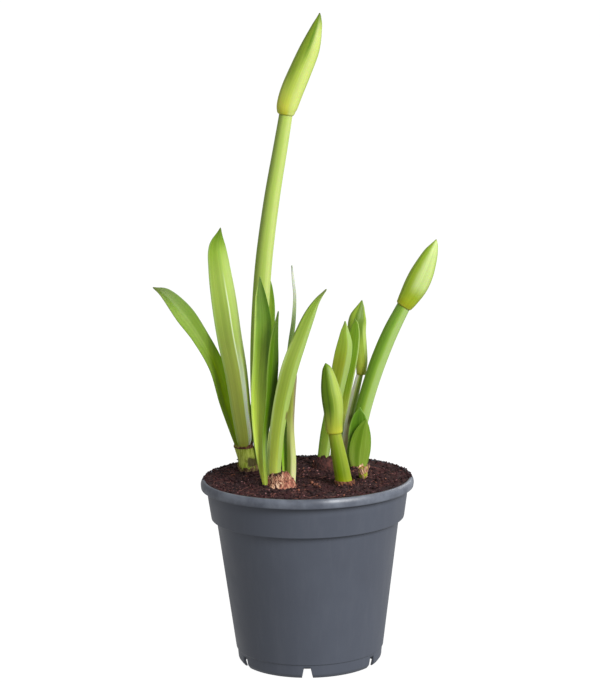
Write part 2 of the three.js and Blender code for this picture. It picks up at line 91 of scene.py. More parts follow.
def skin(name, bodies, finish, slot, **marks):
    """A piece of closed bodies, from an array of body by ring by corner by xyz. Four-sided faces join
    neighbouring rings, and a fan to its own middle closes each end. marks are values kept on the points."""
    bodies = bodies.reshape(-1, *bodies.shape[-3:])
    count, rings, corners = bodies.shape[:3]

    def with_ends(values):
        values = values.reshape(count, rings, corners, -1)
        ends = values[:, [0, -1]].mean(axis=2)
        return np.concatenate([values.reshape(count, rings * corners, -1), ends], axis=1)

    points = with_ends(bodies)
    corner = np.arange(corners)
    beside = (corner + 1) % corners
    row = np.arange(rings - 1)[:, None] * corners
    walls = np.stack([row + corner, row + beside, row + beside + corners, row + corner + corners], -1)
    last = (rings - 1) * corners
    foot_end = np.full(corners, rings * corners)
    fans = np.stack([np.stack([beside, corner, foot_end], -1),
                     np.stack([last + corner, last + beside, foot_end + 1], -1)])
    shift = (np.arange(count) * points.shape[1])[:, None, None]
    faces = (walls.reshape(-1, 4) + shift).reshape(-1, 4).tolist()
    faces += (fans.reshape(-1, 3) + shift).reshape(-1, 3).tolist()
    mesh = bpy.data.meshes.new(name)
    mesh.from_pydata(points.reshape(-1, 3).tolist(), [], faces)
    for mark, values in marks.items():
        wide = values.ndim > 3
        layer = mesh.attributes.new(mark, "FLOAT_VECTOR" if wide else "FLOAT", "POINT")
        kept = with_ends(np.broadcast_to(values, bodies.shape if wide else bodies.shape[:3]))
        layer.data.foreach_set("vector" if wide else "value", kept.astype(np.float32).ravel())
    mesh.shade_smooth()
    mesh.materials.append(finish)
    piece = placed(name, mesh)
    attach(piece, "root")
    return piece


def paint(red, green, blue):
    """A screen colour, each part from 0 to 255, as the light values that a shader takes."""
    share = np.array([red, green, blue]) / 255
    light = np.where(share > 0.04045, ((share + 0.055) / 1.055) ** 2.4, share / 12.92)
    return (*light, 1.0)


def plug(node, sockets):
    """Gives each named input of a node its value, or links another node's output to it."""
    for key, value in sockets.items():
        if isinstance(value, bpy.types.NodeSocket):
            node.id_data.links.new(value, node.inputs[key])
        else:
            node.inputs[key].default_value = value


def brew(kind, sockets, out=0, tree=None, **settings):
    """One shader node, made in the tree of its first linked input. settings are its properties, sockets
    its inputs. Gives its output number out."""
    linked = [value for value in sockets.values() if isinstance(value, bpy.types.NodeSocket)]
    made = (tree or linked[0].id_data).nodes.new("ShaderNode" + kind)
    for key, value in settings.items():
        setattr(made, key, value)
    plug(made, sockets)
    return made.outputs[out]


def tint(share, under, over):
    """Colour under, blended by share from 0 to 1 with colour over. A colour is a node's output or a tuple
    of red, green and blue."""
    under, over = (paint(*colour) if isinstance(colour, tuple) else colour for colour in (under, over))
    return brew("Mix", {0: share, 6: under, 7: over}, out=2, data_type="RGBA")


def ease(value, low, high, at_low=0.0, at_high=1.0):
    """A smooth step of value: at_low up to low, at_high from high on."""
    return brew("MapRange", {0: value, 1: low, 2: high, 3: at_low, 4: at_high},
                interpolation_type="SMOOTHSTEP")


def times(one, other, plus=0.0):
    """One value times another, plus a third."""
    return brew("Math", {0: one, 1: other, 2: plus}, operation="MULTIPLY_ADD")


def speckle(where, size, detail=4.0, rough=0.6):
    """Cloudy noise, 0 to 1, with size as its largest lump in metres."""
    return brew("TexNoise", {"Vector": where, "Scale": 1 / size, "Detail": detail, "Roughness": rough})


def stretched(where, *scale):
    """A place scaled in x, y and z: a pattern on it is stretched where the scale is small."""
    return brew("Mapping", {"Vector": where, "Scale": scale})


def part_of(where, axis):
    """One of the three numbers of a place: 0 is x, 1 is y, 2 is z."""
    return brew("SeparateXYZ", {0: where}, out=axis)


def new_finish(name):
    """A material and the place on its piece in metres (Object coordinates)."""
    made = bpy.data.materials.new(name)
    made.use_nodes = True
    return made, brew("TexCoord", {}, out=3, tree=made.node_tree)


def coated(made, colour, roughness, height, depth, specular=0.5):
    """The material with its colour, roughness and gloss joined on, and with relief of that depth in
    metres where height goes from 0 to 1."""
    plug(made.node_tree.nodes["Principled BSDF"], {
        "Base Color": colour, "Roughness": roughness, "Specular IOR Level": specular,
        "Normal": brew("Bump", {"Strength": 1.0, "Distance": depth, "Height": height}),
    })
    return made


def pot_plastic():
    """Slate grey, a little cloudy, with faint upright flow marks and a fine grain. The lip is painted paler
    in patches as a painted highlight and made smoother there, and some dust lies on it."""
    made, place = new_finish("pot_plastic")
    clouds = speckle(place, 0.05)
    flow = speckle(stretched(place, 1, 1, 0.12), 0.006)
    dust = speckle(place, 0.004, detail=8.0, rough=0.75)
    height = part_of(place, 2)
    colour = tint(clouds, (69, 73, 84), (78, 84, 96))
    colour = tint(ease(flow, 0.45, 0.7, 0.0, 0.25), colour, (86, 90, 100))
    patches = ease(speckle(place, 0.024), 0.38, 0.64, 0.05, 0.7)
    lip_foot, lip_top, collar_top = 0.1238, 0.131, 0.118
    # Painted highlight: the lip is tinted paler grey in patches, and its roughness is lowered there.
    painted_lip_highlight = times(ease(height, lip_foot, lip_foot + 0.0022), patches)
    colour = tint(painted_lip_highlight, colour, (118, 124, 135))
    near_rim = ease(height, collar_top, lip_top, 0.0, 0.3)
    colour = tint(times(near_rim, ease(dust, 0.5, 0.75)), colour, (84, 76, 74))
    sheen = times(painted_lip_highlight, -0.12, ease(clouds, 0.3, 0.7, 0.36, 0.5))
    return coated(made, colour, sheen, speckle(place, 0.0009, detail=2.0), 0.00004)


pot_profile = rounded([
    [3, 0, 0], [27, 0, 0.5], [31, 5, 0.9], [49.3, 5, 0.5], [47.6, 0, 0.3], [48.9, 0, 0.4], [50.7, 2.4, 0.8],
    [51.3, 9.4, 0.3], [52.1, 10.1, 0.3], [64.3, 102.7, 0.4], [67.8, 102.9, 0.5], [70, 118, 1],
    [70.4, 128.2, 0.7], [73.6, 128.3, 0.5], [73.7, 124.4, 0.2], [74.5, 124.4, 0.4], [75, 128.2, 1.9],
    [73.3, 131, 1], [71.9, 130.7, 0.4], [69.2, 126.4, 0.8], [68.7, 118, 1], [66.7, 104.2, 0.6],
    [63, 104, 0.5], [50.8, 10.1, 0.6], [49.9, 6.4, 0.5], [30.3, 6.4, 0.8], [26.3, 1.4, 0.6],
    [3, 1.4, 0],
])
pot = skin("pot_moulding", turned(pot_profile, pot_sides), pot_plastic(), "pot_plastic")

slot_turns = np.radians(np.arange(6) * 60 - 2.3)[:, None, None]
slot_outline = np.array([[-4.05, -1], [4.05, -1], [2.3, 7.6], [-2.3, 7.6]]) * mm
slot_reach = (np.array([38, 56]) * mm)[None, :, None]
slot_aside, slot_up = slot_outline[None, None, :, 0], slot_outline[None, None, :, 1]
slot_wedges = np.stack([slot_reach * np.sin(slot_turns) + slot_aside * np.cos(slot_turns),
                        slot_aside * np.sin(slot_turns) - slot_reach * np.cos(slot_turns),
                        slot_up + 0 * slot_reach * slot_turns], -1)
cutter = skin("slot_cutter", slot_wedges, pot.data.materials[0], "pot_plastic")
cutting = pot.modifiers.new("slots", "BOOLEAN")
cutting.object = cutter
cutting.operation = "DIFFERENCE"
cutting.solver = "EXACT"
cut_mesh = bpy.data.meshes.new_from_object(pot.evaluated_get(bpy.context.evaluated_depsgraph_get()))
pot.modifiers.clear()
pot.data = cut_mesh
bpy.data.objects.remove(cutter)
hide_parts("pot")

# Peat
# Damp dark potting peat fills the pot flush with the rim. It has settled in a shallow dish, a little banked
# up round the right bulb's shoots, and its surface is all crumbs, bark chips and root fibres.
soil_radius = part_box("substrate")[1].x
soil_edge = 130.3 * mm
random = np.random.default_rng(7)


def rough(x, y, size, seed):
    """Smooth random height, -1 to 1: a lattice of random numbers, size apart, blended with a smooth step
    in x and in y."""
    table = np.random.default_rng(seed).uniform(-1, 1, (64, 64))
    i, j = x / size + 400, y / size + 400
    left, near = np.floor(i).astype(int), np.floor(j).astype(int)
    s, t = i - left, j - near
    s, t = s * s * (3 - 2 * s), t * t * (3 - 2 * t)

    def at(column, line):
        return table[column % 64, line % 64]

    low = at(left, near) * (1 - s) + at(left + 1, near) * s
    high = at(left, near + 1) * (1 - s) + at(left + 1, near + 1) * s
    return low * (1 - t) + high * t


def mound(x, y, middle_x, middle_y, spread):
    """A bell curve: 2.4 mm times e to the power of minus the squared way from its middle over spread, in
    square millimetres."""
    away = (x - middle_x * mm) ** 2 + (y - middle_y * mm) ** 2
    return 2.4 * mm * np.exp(-away / (spread * mm * mm))


def peat_height(x, y):
    """Edge height less a dish that fades with the square of the radius, plus a mound round the right bulb, a
    small one before the front left bulb, and lumps of four sizes that die out at the rim."""
    share = np.minimum(1, np.hypot(x, y) / soil_radius)
    bank = mound(x, y, 36, 24, 220) + mound(x, y, -30, -36, 50)
    lumps = 0.75 * rough(x, y, 9 * mm, 1) + 0.6 * rough(x, y, 3.7 * mm, 2)
    lumps = lumps + 0.5 * rough(x, y, 1.7 * mm, 3) + 0.3 * rough(x, y, 0.8 * mm, 4)
    dish = 1.2 * mm * (1 - share ** 2)
    return soil_edge - dish + (bank + lumps * mm) * (1 - share ** 10) + 0.35 * mm * lumps * share ** 10


def damp_peat():
    """Near-black brown with red-brown and grey-brown crumbs, dull all over."""
    made, place = new_finish("damp_peat")
    fine = speckle(place, 0.0022, detail=8.0, rough=0.8)
    wide = speckle(place, 0.011, detail=5.0, rough=0.65)
    chips = brew("TexVoronoi", {"Vector": place, "Scale": 620.0, "Randomness": 1.0}, out=1)
    chip = brew("SeparateColor", {0: chips})
    colour = tint(ease(fine, 0.36, 0.66), (24, 13, 16), (60, 38, 40))
    colour = tint(ease(wide, 0.4, 0.68, 0.0, 0.5), colour, (78, 40, 42))
    colour = tint(ease(chip, 0.88, 0.93, 0.0, 0.4), colour, (100, 72, 66))
    return coated(made, colour, 0.95, fine, 0.0009, 0.25)


peat_finish = damp_peat()
soil_wall = rounded([
    [3, 1.7, 0], [26, 1.7, 0.4], [30, 6.7, 0.6], [49.6, 6.7, 0.4], [50.5, 10.1, 0.4], [62.7, 104.3, 0.4],
    [66.4, 104.6, 0.5], [68.4, 118, 0.6], [68.9, 126.6, 0.5],
], steps=3)
soil_top = np.linspace(1, 0.004, 150)[:, None] * [[soil_radius, 0]]
peat_rings = turned(np.vstack([soil_wall, soil_top]), 420)
on_top = peat_rings[len(soil_wall):]
on_top[..., 2] = peat_height(on_top[..., 0], on_top[..., 1])
peat = skin("peat", peat_rings, peat_finish, "peat")
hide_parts("substrate")

# Loose crumbs
# Crumbs of peat lie loose on the surface and on the back half of the rim, rough little lumps half sunk
# into it. Among them are brown chips of bark, some heaped in front of the short scape, and pinkish flecks.


def tumbled(count):
    """Random turns: the three axes of a box for each, from two random arrows made square to each other."""
    one = random.normal(size=(count, 3))
    two = random.normal(size=(count, 3))
    one /= np.linalg.norm(one, axis=1, keepdims=True)
    two -= one * (one * two).sum(1, keepdims=True)
    two /= np.linalg.norm(two, axis=1, keepdims=True)
    return np.stack([one, two, np.cross(one, two)], 1)


def lumps_at(place, size, uneven=(0.5, 1.3)):
    """Rough lumps of six corners by four rings, each scaled by its own uneven factors and tumbled."""
    count = len(place)
    lump_ring = turned(np.array([[0.62, -0.78], [0.98, -0.2], [0.95, 0.3], [0.55, 0.83]]), 6)
    made = lump_ring[None] * random.uniform(0.7, 1.25, (count, 4, 6, 1))
    made = made * random.uniform(*uneven, (count, 1, 1, 3)) * size[:, None, None, None]
    return np.einsum("nrck,nkj->nrcj", made, tumbled(count)) + place[:, None, None]


def scattered(count, reach):
    """Random spots spread evenly over a disc of radius reach: the radius goes with a square root."""
    radius = reach * np.sqrt(random.uniform(0, 1, count))
    turn = random.uniform(0, 2 * np.pi, count)
    return radius * np.cos(turn), radius * np.sin(turn)


def on_peat(x, y, sunk):
    return np.stack([x, y, peat_height(x, y) + sunk], 1)


crumb_count, rim_count, chip_count, fleck_count = 2600, 460, 70, 100
strewn = 0.94 * soil_radius
crumb_size = (0.35 + 1.1 * random.uniform(0, 1, crumb_count) ** 3) * mm
crumb_place = on_peat(*scattered(crumb_count, soil_radius * 0.975), 0.2 * crumb_size)
rim_turn = random.uniform(-0.12, np.pi + 0.12, rim_count)
rim_reach = random.uniform(70.8, 73.2, rim_count) * mm
rim_top = 130.9 * mm + 0 * rim_turn
rim_crumbs = np.stack([rim_reach * np.cos(rim_turn), rim_reach * np.sin(rim_turn), rim_top], 1)
all_sizes = np.r_[crumb_size, random.uniform(0.35, 0.7, rim_count) * mm]
skin("peat_crumbs", lumps_at(np.vstack([crumb_place, rim_crumbs]), all_sizes), peat_finish, "peat")

heap = np.array([[3.5, -19], [5, -23.5], [6.5, -27], [8.5, -33], [7, -30], [22, -32], [30, -31]]).T * mm
chip_x, chip_y = np.hstack([heap, scattered(chip_count, strewn)])
chip_size = np.r_[np.full(heap.shape[1], 1.5), random.uniform(0.5, 1.1, chip_count)] * mm


def dry_bits(name, dark, light, patch=0.0015, grain=0.0015, relief=0.0003, roughness=0.9):
    """Dry bark: two browns in cloudy patches, dull, with a fine grain."""
    made, place = new_finish(name)
    colour = tint(ease(speckle(place, patch), 0.35, 0.65), dark, light)
    return coated(made, colour, roughness, speckle(place, grain), relief)


skin("bark_chips", lumps_at(on_peat(chip_x, chip_y, 0.25 * chip_size), chip_size, (0.3, 1.3)),
     dry_bits("bark_chip", (84, 44, 34), (146, 92, 70)), "peat")
fleck_size = random.uniform(0.3, 0.7, fleck_count) * mm
skin("pink_flecks", lumps_at(on_peat(*scattered(fleck_count, strewn), 0.3 * fleck_size), fleck_size),
     dry_bits("pink_fleck", (110, 66, 68), (160, 112, 112)), "peat")

# Root and bark fibres
# Thin red-brown and straw-coloured fibres that lie criss-cross in and on the peat.


def threads(x, y, z, heading, length, thickness, bend, arch, steps=9):
    """Round threads: each runs from its middle both ways along its heading, which turns by bend over its
    length, and lifts at its ends by arch times the square of the way from the middle."""
    way = np.linspace(-1, 1, steps)
    turn = heading[:, None] + bend[:, None] * way
    step = length[:, None] / (steps - 1)
    path_x = np.cumsum(np.cos(turn) * step, 1)
    path_y = np.cumsum(np.sin(turn) * step, 1)
    path_x += (x - path_x[:, steps // 2])[:, None]
    path_y += (y - path_y[:, steps // 2])[:, None]
    path_z = z(path_x, path_y) + arch[:, None] * way ** 2
    taper = thickness[:, None] * np.sqrt(1.04 - way ** 2)
    angle = np.arange(5) * 2 * np.pi / 5
    side, rise = np.cos(angle) * taper[..., None], np.sin(angle) * taper[..., None]
    return np.stack([path_x[..., None] - np.sin(turn)[..., None] * side,
                     path_y[..., None] + np.cos(turn)[..., None] * side,
                     path_z[..., None] + rise], -1)


fibre_count = 420
fibre_x, fibre_y = scattered(fibre_count, strewn)
fibres = threads(
    fibre_x, fibre_y, lambda x, y: peat_height(x, y) + 0.15 * mm,
    random.uniform(0, np.pi, fibre_count), random.uniform(2, 9, fibre_count) * mm,
    random.uniform(0.09, 0.26, fibre_count) * mm, random.normal(0, 0.6, fibre_count),
    random.uniform(0, 0.5, fibre_count) * mm)
skin("peat_fibres", fibres, dry_bits("bark_fibre", (72, 34, 33), (126, 76, 66), patch=0.005,
                                     grain=0.0006, relief=0.0001, roughness=0.85), "peat")

# Bulbs
# Three bulbs with their basal plates and thick roots grow in the peat. What stands out of it is a green
# neck at the back left, a scaly pink-brown shoulder in front of it, and a strip of red-brown skin.


def follow(stations, t):
    """A spline through stations of x, y, z and sizes, in millimetres: a cubic between neighbours, parallel
    at each station to the line between the stations beside it. Gives places, directions and sizes."""
    knots = np.array(stations, float) * mm
    before, after = 2 * knots[0] - knots[1], 2 * knots[-1] - knots[-2]
    before[3:], after[3:] = knots[0, 3:], knots[-1, 3:]
    knots = np.vstack([before, knots, after])
    reach = t * (len(stations) - 1)
    i = np.minimum(reach.astype(int), len(stations) - 2)
    w = (reach - i)[:, None]
    one, two, three, four = (knots[i + k] for k in range(4))
    enter, leave = (three - one) / 2, (four - two) / 2
    cubic = 2 * two - 2 * three + enter + leave
    square = 3 * three - 3 * two - 2 * enter - leave
    place = ((cubic * w + square) * w + enter) * w + two
    slope = ((3 * cubic * w + 2 * square) * w + enter)[:, :3]
    return place[:, :3], slope / np.linalg.norm(slope, axis=1, keepdims=True), place[:, 3:]


def section(corners):
    """Angles round a section, half a step past its left side, with their cosine and sine."""
    corner = -np.pi + (np.arange(corners) + 0.5) * 2 * np.pi / corners
    return corner, np.cos(corner), np.sin(corner)


def bulb_body(stations, sides=96, rings=110, folds=0.4):
    """Level rings: half the width times cosine, half the depth times sine. The skin is creased by folds, in
    millimetres, times the sum of a fine noise that winds up the bulb and a coarser, upright one."""
    place, _, size = follow(stations, np.linspace(0, 1, rings))
    _, round_x, round_y = section(sides)
    crease = rough(20 * mm * round_x + 3 * place[:, 2:], 20 * mm * round_y + 0.5 * place[:, 2:], 2.2 * mm, 5)
    crease = crease + rough(40 * mm * round_x, 40 * mm * round_y + place[:, 2:], 4 * mm, 6)
    swell = folds * mm * crease
    return np.stack([place[:, :1] + (size[:, :1] / 2 + swell) * round_x,
                     place[:, 1:2] + (size[:, 1:] / 2 + swell) * round_y,
                     place[:, 2:] + 0 * round_x], -1)


def bulb_roots(centre, count, reach, bottom, turn):
    """Thick roots that fan out evenly from under the plate, sag outwards to reach and end near bottom."""
    x, y, z = centre
    t = np.linspace(0, 1, 14)
    angle = np.arange(12) * 2 * np.pi / 12
    made = []
    for i in range(count):
        heading = np.radians(turn + i * 360 / count)
        drop = bottom + 9 * ((i * 0.618) % 1)
        legs = [[2.5, z + 5, 4], [5, z - 8, 3.6], [reach, (z + drop) / 2, 3.2], [reach - 1, drop, 2]]
        place, along, size = follow([[x + r * np.cos(heading), y + r * np.sin(heading), h, w]
                                     for r, h, w in legs], t)
        right, back = cross_axes(along, 0 * t)
        made.append(place[:, None] + size[..., None] / 2 * (
            np.cos(angle)[:, None] * right[:, None] + np.sin(angle)[:, None] * back[:, None]))
    return np.array(made)


def cross_axes(along, roll):
    """The two axes across a shoot: right as seen from the front, and back, away from the front. roll turns
    both about the shoot, in degrees, right side backwards."""
    right = np.cross(along, [0, -1, 0])
    right /= np.linalg.norm(right, axis=1, keepdims=True)
    back = np.cross(along, right)
    turn = np.radians(roll)[:, None]
    return right * np.cos(turn) + back * np.sin(turn), back * np.cos(turn) - right * np.sin(turn)


def tunic_flakes(stations, flakes, thick=0.25, ragged=0.16, rings=12, corners=22):
    """Dry scales that lie on a bulb. Each is [turn, half spread, foot height, head height, lift, seed] in
    degrees and millimetres: a curved sheet between two heights, its sides drawn in towards a torn head,
    that stands off the bulb by lift times the square of the way up."""
    line, _, size = follow(stations, np.linspace(0, 1, 200))
    columns = np.hstack([line[:, :2], size]).T
    t = np.linspace(0, 1, rings)[:, None]
    _, across, side = section(corners)
    made = []
    for turn, spread, foot, head, lift, seed in flakes:
        torn = ragged * (head - foot) * rough(across * spread * 0.06, 0 * across + seed, 0.9, int(seed))
        height = (foot + (head - foot + torn * t) * t) * mm
        angle = np.radians(turn + spread * across * (1 - 0.55 * t ** 3))
        stand = (lift * t ** 2 + thick * (0.6 + 0.5 * side) + 0.25 * np.sin(5 * across + 7 * t + seed)) * mm
        x, y, width, deep = (np.interp(height, line[:, 2], column) for column in columns)
        made.append(np.stack([x + (width / 2 + stand) * np.cos(angle),
                              y + (deep / 2 + stand) * np.sin(angle), height], -1))
    return np.array(made)


def dry_tunic(name, dark, mid, pale):
    """Papery bulb skin: brown of two depths in upright streaks, with pale worn patches and crinkles."""
    made, place = new_finish(name)
    streak = speckle(stretched(place, 1, 1, 1 / 6), 0.0016, detail=6.0, rough=0.7)
    worn = speckle(place, 0.006, detail=6.0, rough=0.7)
    colour = tint(ease(streak, 0.35, 0.62), dark, mid)
    colour = tint(ease(worn, 0.5, 0.72, 0.0, 0.85), colour, pale)
    return coated(made, colour, 0.7, streak, 0.0007, 0.3)


brown_tunic = dry_tunic("brown_tunic", (66, 38, 32), (132, 82, 64), (196, 152, 122))
pink_tunic = dry_tunic("pink_tunic", (104, 56, 44), (176, 112, 92), (226, 184, 152))
straw_tunic = dry_tunic("straw_tunic", (88, 66, 42), (146, 124, 80), (190, 170, 118))

back_left = [
    [-27, 20, 64, 14, 14], [-27, 20, 69, 26, 26], [-28, 21, 82, 38, 38], [-29, 22, 96, 40, 40],
    [-31.5, 24, 108, 37, 37], [-35, 27, 117.5, 29, 29], [-38.8, 29.8, 124.5, 20, 20],
    [-41.2, 31, 130, 14.5, 14.5], [-43.2, 31.7, 138, 12.9, 12.9], [-45.5, 32, 147.5, 13.6, 13.6],
]
front_left = [
    [-14, -19, 62, 15, 15], [-14, -19, 67, 30, 30], [-14.5, -20, 80, 42, 42], [-15, -21, 96, 47, 47],
    [-15.5, -21.5, 108, 45, 45], [-17, -22, 118, 36, 40], [-18.2, -22.5, 125, 25, 33],
    [-18.4, -23, 130.5, 19.5, 27], [-19, -21.5, 134.5, 15.5, 21], [-19.6, -19.8, 138, 10, 13.5],
]
right_mother = [
    [20, 24, 62, 16, 16], [20, 24, 67, 34, 34], [20.5, 25, 82, 48, 48], [21, 26, 97, 52, 52],
    [21.5, 28.5, 110, 48, 48], [21.5, 31, 118.5, 41, 41], [19.5, 34, 125.5, 32, 32],
    [15.5, 36, 130.5, 22, 21], [13.5, 36.5, 134, 17, 15], [13, 36.5, 136.8, 12, 10],
]
right_daughter = [
    [30, -1, 72, 10, 10], [31, -5, 82, 24, 24], [31.5, -8, 97, 31, 31], [32, -10, 110, 30, 30],
    [32, -11, 120, 26, 26], [32, -11.5, 125.5, 20, 20], [31, -12, 128, 9, 9],
]


def green_neck():
    """The neck is brown below the peat, then yellow-green with brown stains, brown along its torn rim, and
    has a dark patch low on its right side."""
    made, place = new_finish("green_neck")
    peat_line, patch_left, patch_foot, patch_head, torn_rim = 0.129, -0.0404, 0.1362, 0.1422, 0.1462
    height = part_of(place, 2)
    streak = speckle(stretched(place, 1, 1, 0.2), 0.0018, detail=6.0, rough=0.7)
    stain = speckle(place, 0.006, detail=6.0, rough=0.7)
    flesh = tint(ease(streak, 0.35, 0.65), (150, 170, 42), (212, 224, 108))
    flesh = tint(ease(stain, 0.55, 0.72, 0.0, 0.7), flesh, (132, 100, 62))
    flesh = tint(ease(height, torn_rim, torn_rim + 0.0018, 0.0, 0.8), flesh, (108, 62, 34))
    wander, drop = times(stain, 0.006, part_of(place, 0)), times(stain, 0.008, height)
    tall = times(ease(drop, patch_foot, patch_foot + 0.0018), ease(drop, patch_head + 0.002, patch_head))
    patch = times(ease(wander, patch_left, patch_left + 0.0016), tall)
    flesh = tint(times(patch, 0.85), flesh, (60, 26, 38))
    colour = tint(ease(height, peat_line, peat_line + 0.0035), (96, 64, 44), flesh)
    return coated(made, colour, 0.65, streak, 0.0004, 0.2)


bulb_back = skin("bulb_back_left_body", bulb_body(back_left, folds=0.12), green_neck(), "bulb_tunic")
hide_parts("bulb_back_left")
skin("bulb_back_left_roots", bulb_roots([-27, 20, 64], 5, 11, 22, 20), straw_tunic, "bulb_tunic")
skin("bulb_back_left_scales", tunic_flakes(back_left, [
    [205, 24, 127, 132.8, 1.2, 1], [255, 20, 127, 133, 1.6, 2], [290, 18, 127, 133.4, 1.2, 3],
    [150, 40, 127, 134, 1.4, 4], [100, 50, 127, 134, 1.2, 5], [30, 40, 126, 134, 1.2, 6],
    [325, 16, 128, 134.5, 0.8, 7],
]), straw_tunic, "bulb_tunic")
skin("bulb_back_left_rim", tunic_flakes(back_left, [
    [318, 30, 146, 148.9, 0.4, 8], [264, 34, 145.9, 147.4, 0.2, 9], [212, 26, 146.2, 147.2, 0.1, 12],
    [40, 50, 144, 149, 0.6, 10], [120, 60, 144, 148.2, 0.5, 11],
]), brown_tunic, "bulb_tunic")
crumb_on_neck = np.array([[-49.9, 30, 137.4]]) * mm
skin("bulb_back_left_crumb", lumps_at(crumb_on_neck, np.array([0.8 * mm])), peat_finish, "peat")

deep_tunic = dry_tunic("deep_tunic", (30, 15, 15), (74, 38, 35), (110, 62, 54))
bulb_front = skin("bulb_front_left_body", bulb_body(front_left, folds=0.8), deep_tunic, "bulb_tunic")
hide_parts("bulb_front_left")
skin("bulb_front_left_roots", bulb_roots([-14, -19, 62], 6, 13, 18, 50), straw_tunic, "bulb_tunic")


def scales(stations, count, low, high, length, spread, lift, seed):
    """Torn scales at random turns round a bulb, with feet from low to high and lengths, half spreads and
    lifts between two limits each."""
    draw = np.random.default_rng(seed)
    foot = draw.uniform(low, high, count)
    return tunic_flakes(stations, np.stack([
        draw.uniform(0, 360, count), draw.uniform(*spread, count), foot, foot + draw.uniform(*length, count),
        draw.uniform(*lift, count), np.arange(count)], 1))


shoulder_x, shoulder_y, shoulder_squash = -18.6 * mm, -22 * mm, 0.74


def shoulder_height(x, y):
    """Height of the front left bulb's top over a point, from its half width at five heights."""
    away = np.hypot(x - shoulder_x, (y - shoulder_y) * shoulder_squash) / mm
    return np.interp(away, [5, 7.75, 9.75, 12.5, 18], [138, 134.5, 130.5, 125, 118]) * mm


def shreds(count, seed):
    """Curled shreds of skin that cling to the shoulder in a ring round the leaves' feet."""
    draw = np.random.default_rng(seed)
    turn, away = draw.uniform(0, 2 * np.pi, count), draw.uniform(6.5, 11, count) * mm
    return threads(shoulder_x + away * np.cos(turn), shoulder_y + away * np.sin(turn) / shoulder_squash,
                   lambda x, y: shoulder_height(x, y) + 0.35 * mm,
                   draw.uniform(0, np.pi, count), draw.uniform(1.6, 5, count) * mm,
                   draw.uniform(0.16, 0.42, count) * mm, draw.normal(0, 2, count),
                   draw.uniform(0.1, 1.6, count) * mm)


cream_tunic = dry_tunic("cream_tunic", (150, 92, 70), (222, 178, 144), (246, 220, 190))
skin("bulb_front_left_scales", scales(front_left, 44, 124, 132, (2.5, 5.5), (4, 11), (0.4, 1.6), 21),
     pink_tunic, "bulb_tunic")
skin("bulb_front_left_pale_scales", scales(front_left, 22, 125, 132, (2, 5), (3, 8), (0.7, 2.1), 22),
     cream_tunic, "bulb_tunic")
skin("bulb_front_left_shreds", shreds(230, 23), pink_tunic, "bulb_tunic")
skin("bulb_front_left_pale_shreds", shreds(190, 24), cream_tunic, "bulb_tunic")
skin("bulb_front_left_pale_edge", tunic_flakes(front_left, [
    [274, 24, 129.5, 137, 0.7, 3], [302, 15, 129, 140.2, 0.9, 5], [236, 14, 127, 133.5, 0.9, 8],
]), cream_tunic, "bulb_tunic")
skin("bulb_front_left_pink_edge", tunic_flakes(front_left, [
    [317, 20, 127, 139.6, 1.6, 31], [334, 22, 126, 138.5, 1.8, 32], [350, 18, 126, 134.5, 1.6, 34],
]), pink_tunic, "bulb_tunic")

right_pair = np.stack([bulb_body(right_mother, folds=0.5), bulb_body(right_daughter, folds=0.25)])
bulb_right = skin("bulb_right_body", right_pair, deep_tunic, "bulb_tunic")
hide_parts("bulb_right")
skin("bulb_right_roots", bulb_roots([20, 24, 62], 6, 13, 20, 10), straw_tunic, "bulb_tunic")
skin("bulb_right_scales", scales(right_mother, 34, 127.5, 134, (2, 5), (4, 14), (0.3, 1.1), 25),
     deep_tunic, "bulb_tunic")
skin("bulb_right_pale_scales", scales(right_mother, 9, 129, 134, (1, 2.5), (4, 9), (0.4, 0.9), 26),
     pink_tunic, "bulb_tunic")
skin("bulb_right_edge", tunic_flakes(right_mother, [
    [258, 26, 131, 138.8, 0.4, 41], [296, 24, 130, 138, 0.5, 42], [226, 20, 130, 137.4, 0.4, 43],
]), deep_tunic, "bulb_tunic")
short_foot = [
    [27.1, -20.5, 121.2, 14.6, 14.6], [26.3, -20.5, 128, 13.2, 13.2], [25.7, -20.5, 132.5, 12.6, 12.6],
    [25.3, -20.5, 134.6, 12.4, 12.4],
]
collar_flakes = tunic_flakes(short_foot, [
    [turn, 30 + 8 * random.uniform(), 123, 132.2 + 0.6 * random.uniform(), 0.35, n]
    for n, turn in enumerate(np.arange(0, 360, 28))
], ragged=0.03)
collar_tunic = dry_tunic("collar_tunic", (80, 46, 36), (134, 86, 58), (184, 136, 92))
skin("bulb_right_collar", collar_flakes, collar_tunic, "bulb_tunic")

# Leaves
# Strap leaves with a waxy skin rise from the bulbs: channelled or keeled, thick in the middle, thin at
# the edges, with fine veins from foot to tip. Each stands in its bulb's neck.
leaf_edge = 0.7
tip_width = 1.2


def shoot(place, along, aside, behind, t, across, deep, roll=0):
    """A closed body whose rings stand off a line of places, aside to its right and behind it, with
    two marks for its paint: grain is the way across, the way through and ten times the length so far, and
    along goes from 0 at the foot to 1 at the tip."""
    right, back = cross_axes(along, roll + 0 * t)
    made = place[:, None] + aside[..., None] * right[:, None] + behind[..., None] * back[:, None]
    length = np.cumsum(np.r_[0, np.linalg.norm(np.diff(place, axis=0), axis=1)])[:, None]
    up = t[:, None]
    grain = np.stack([across + 0 * up, deep + 0 * up, 10 * length + 0 * across], -1)
    return made[None], {"grain": grain[None], "along": (up + 0 * across)[None]}


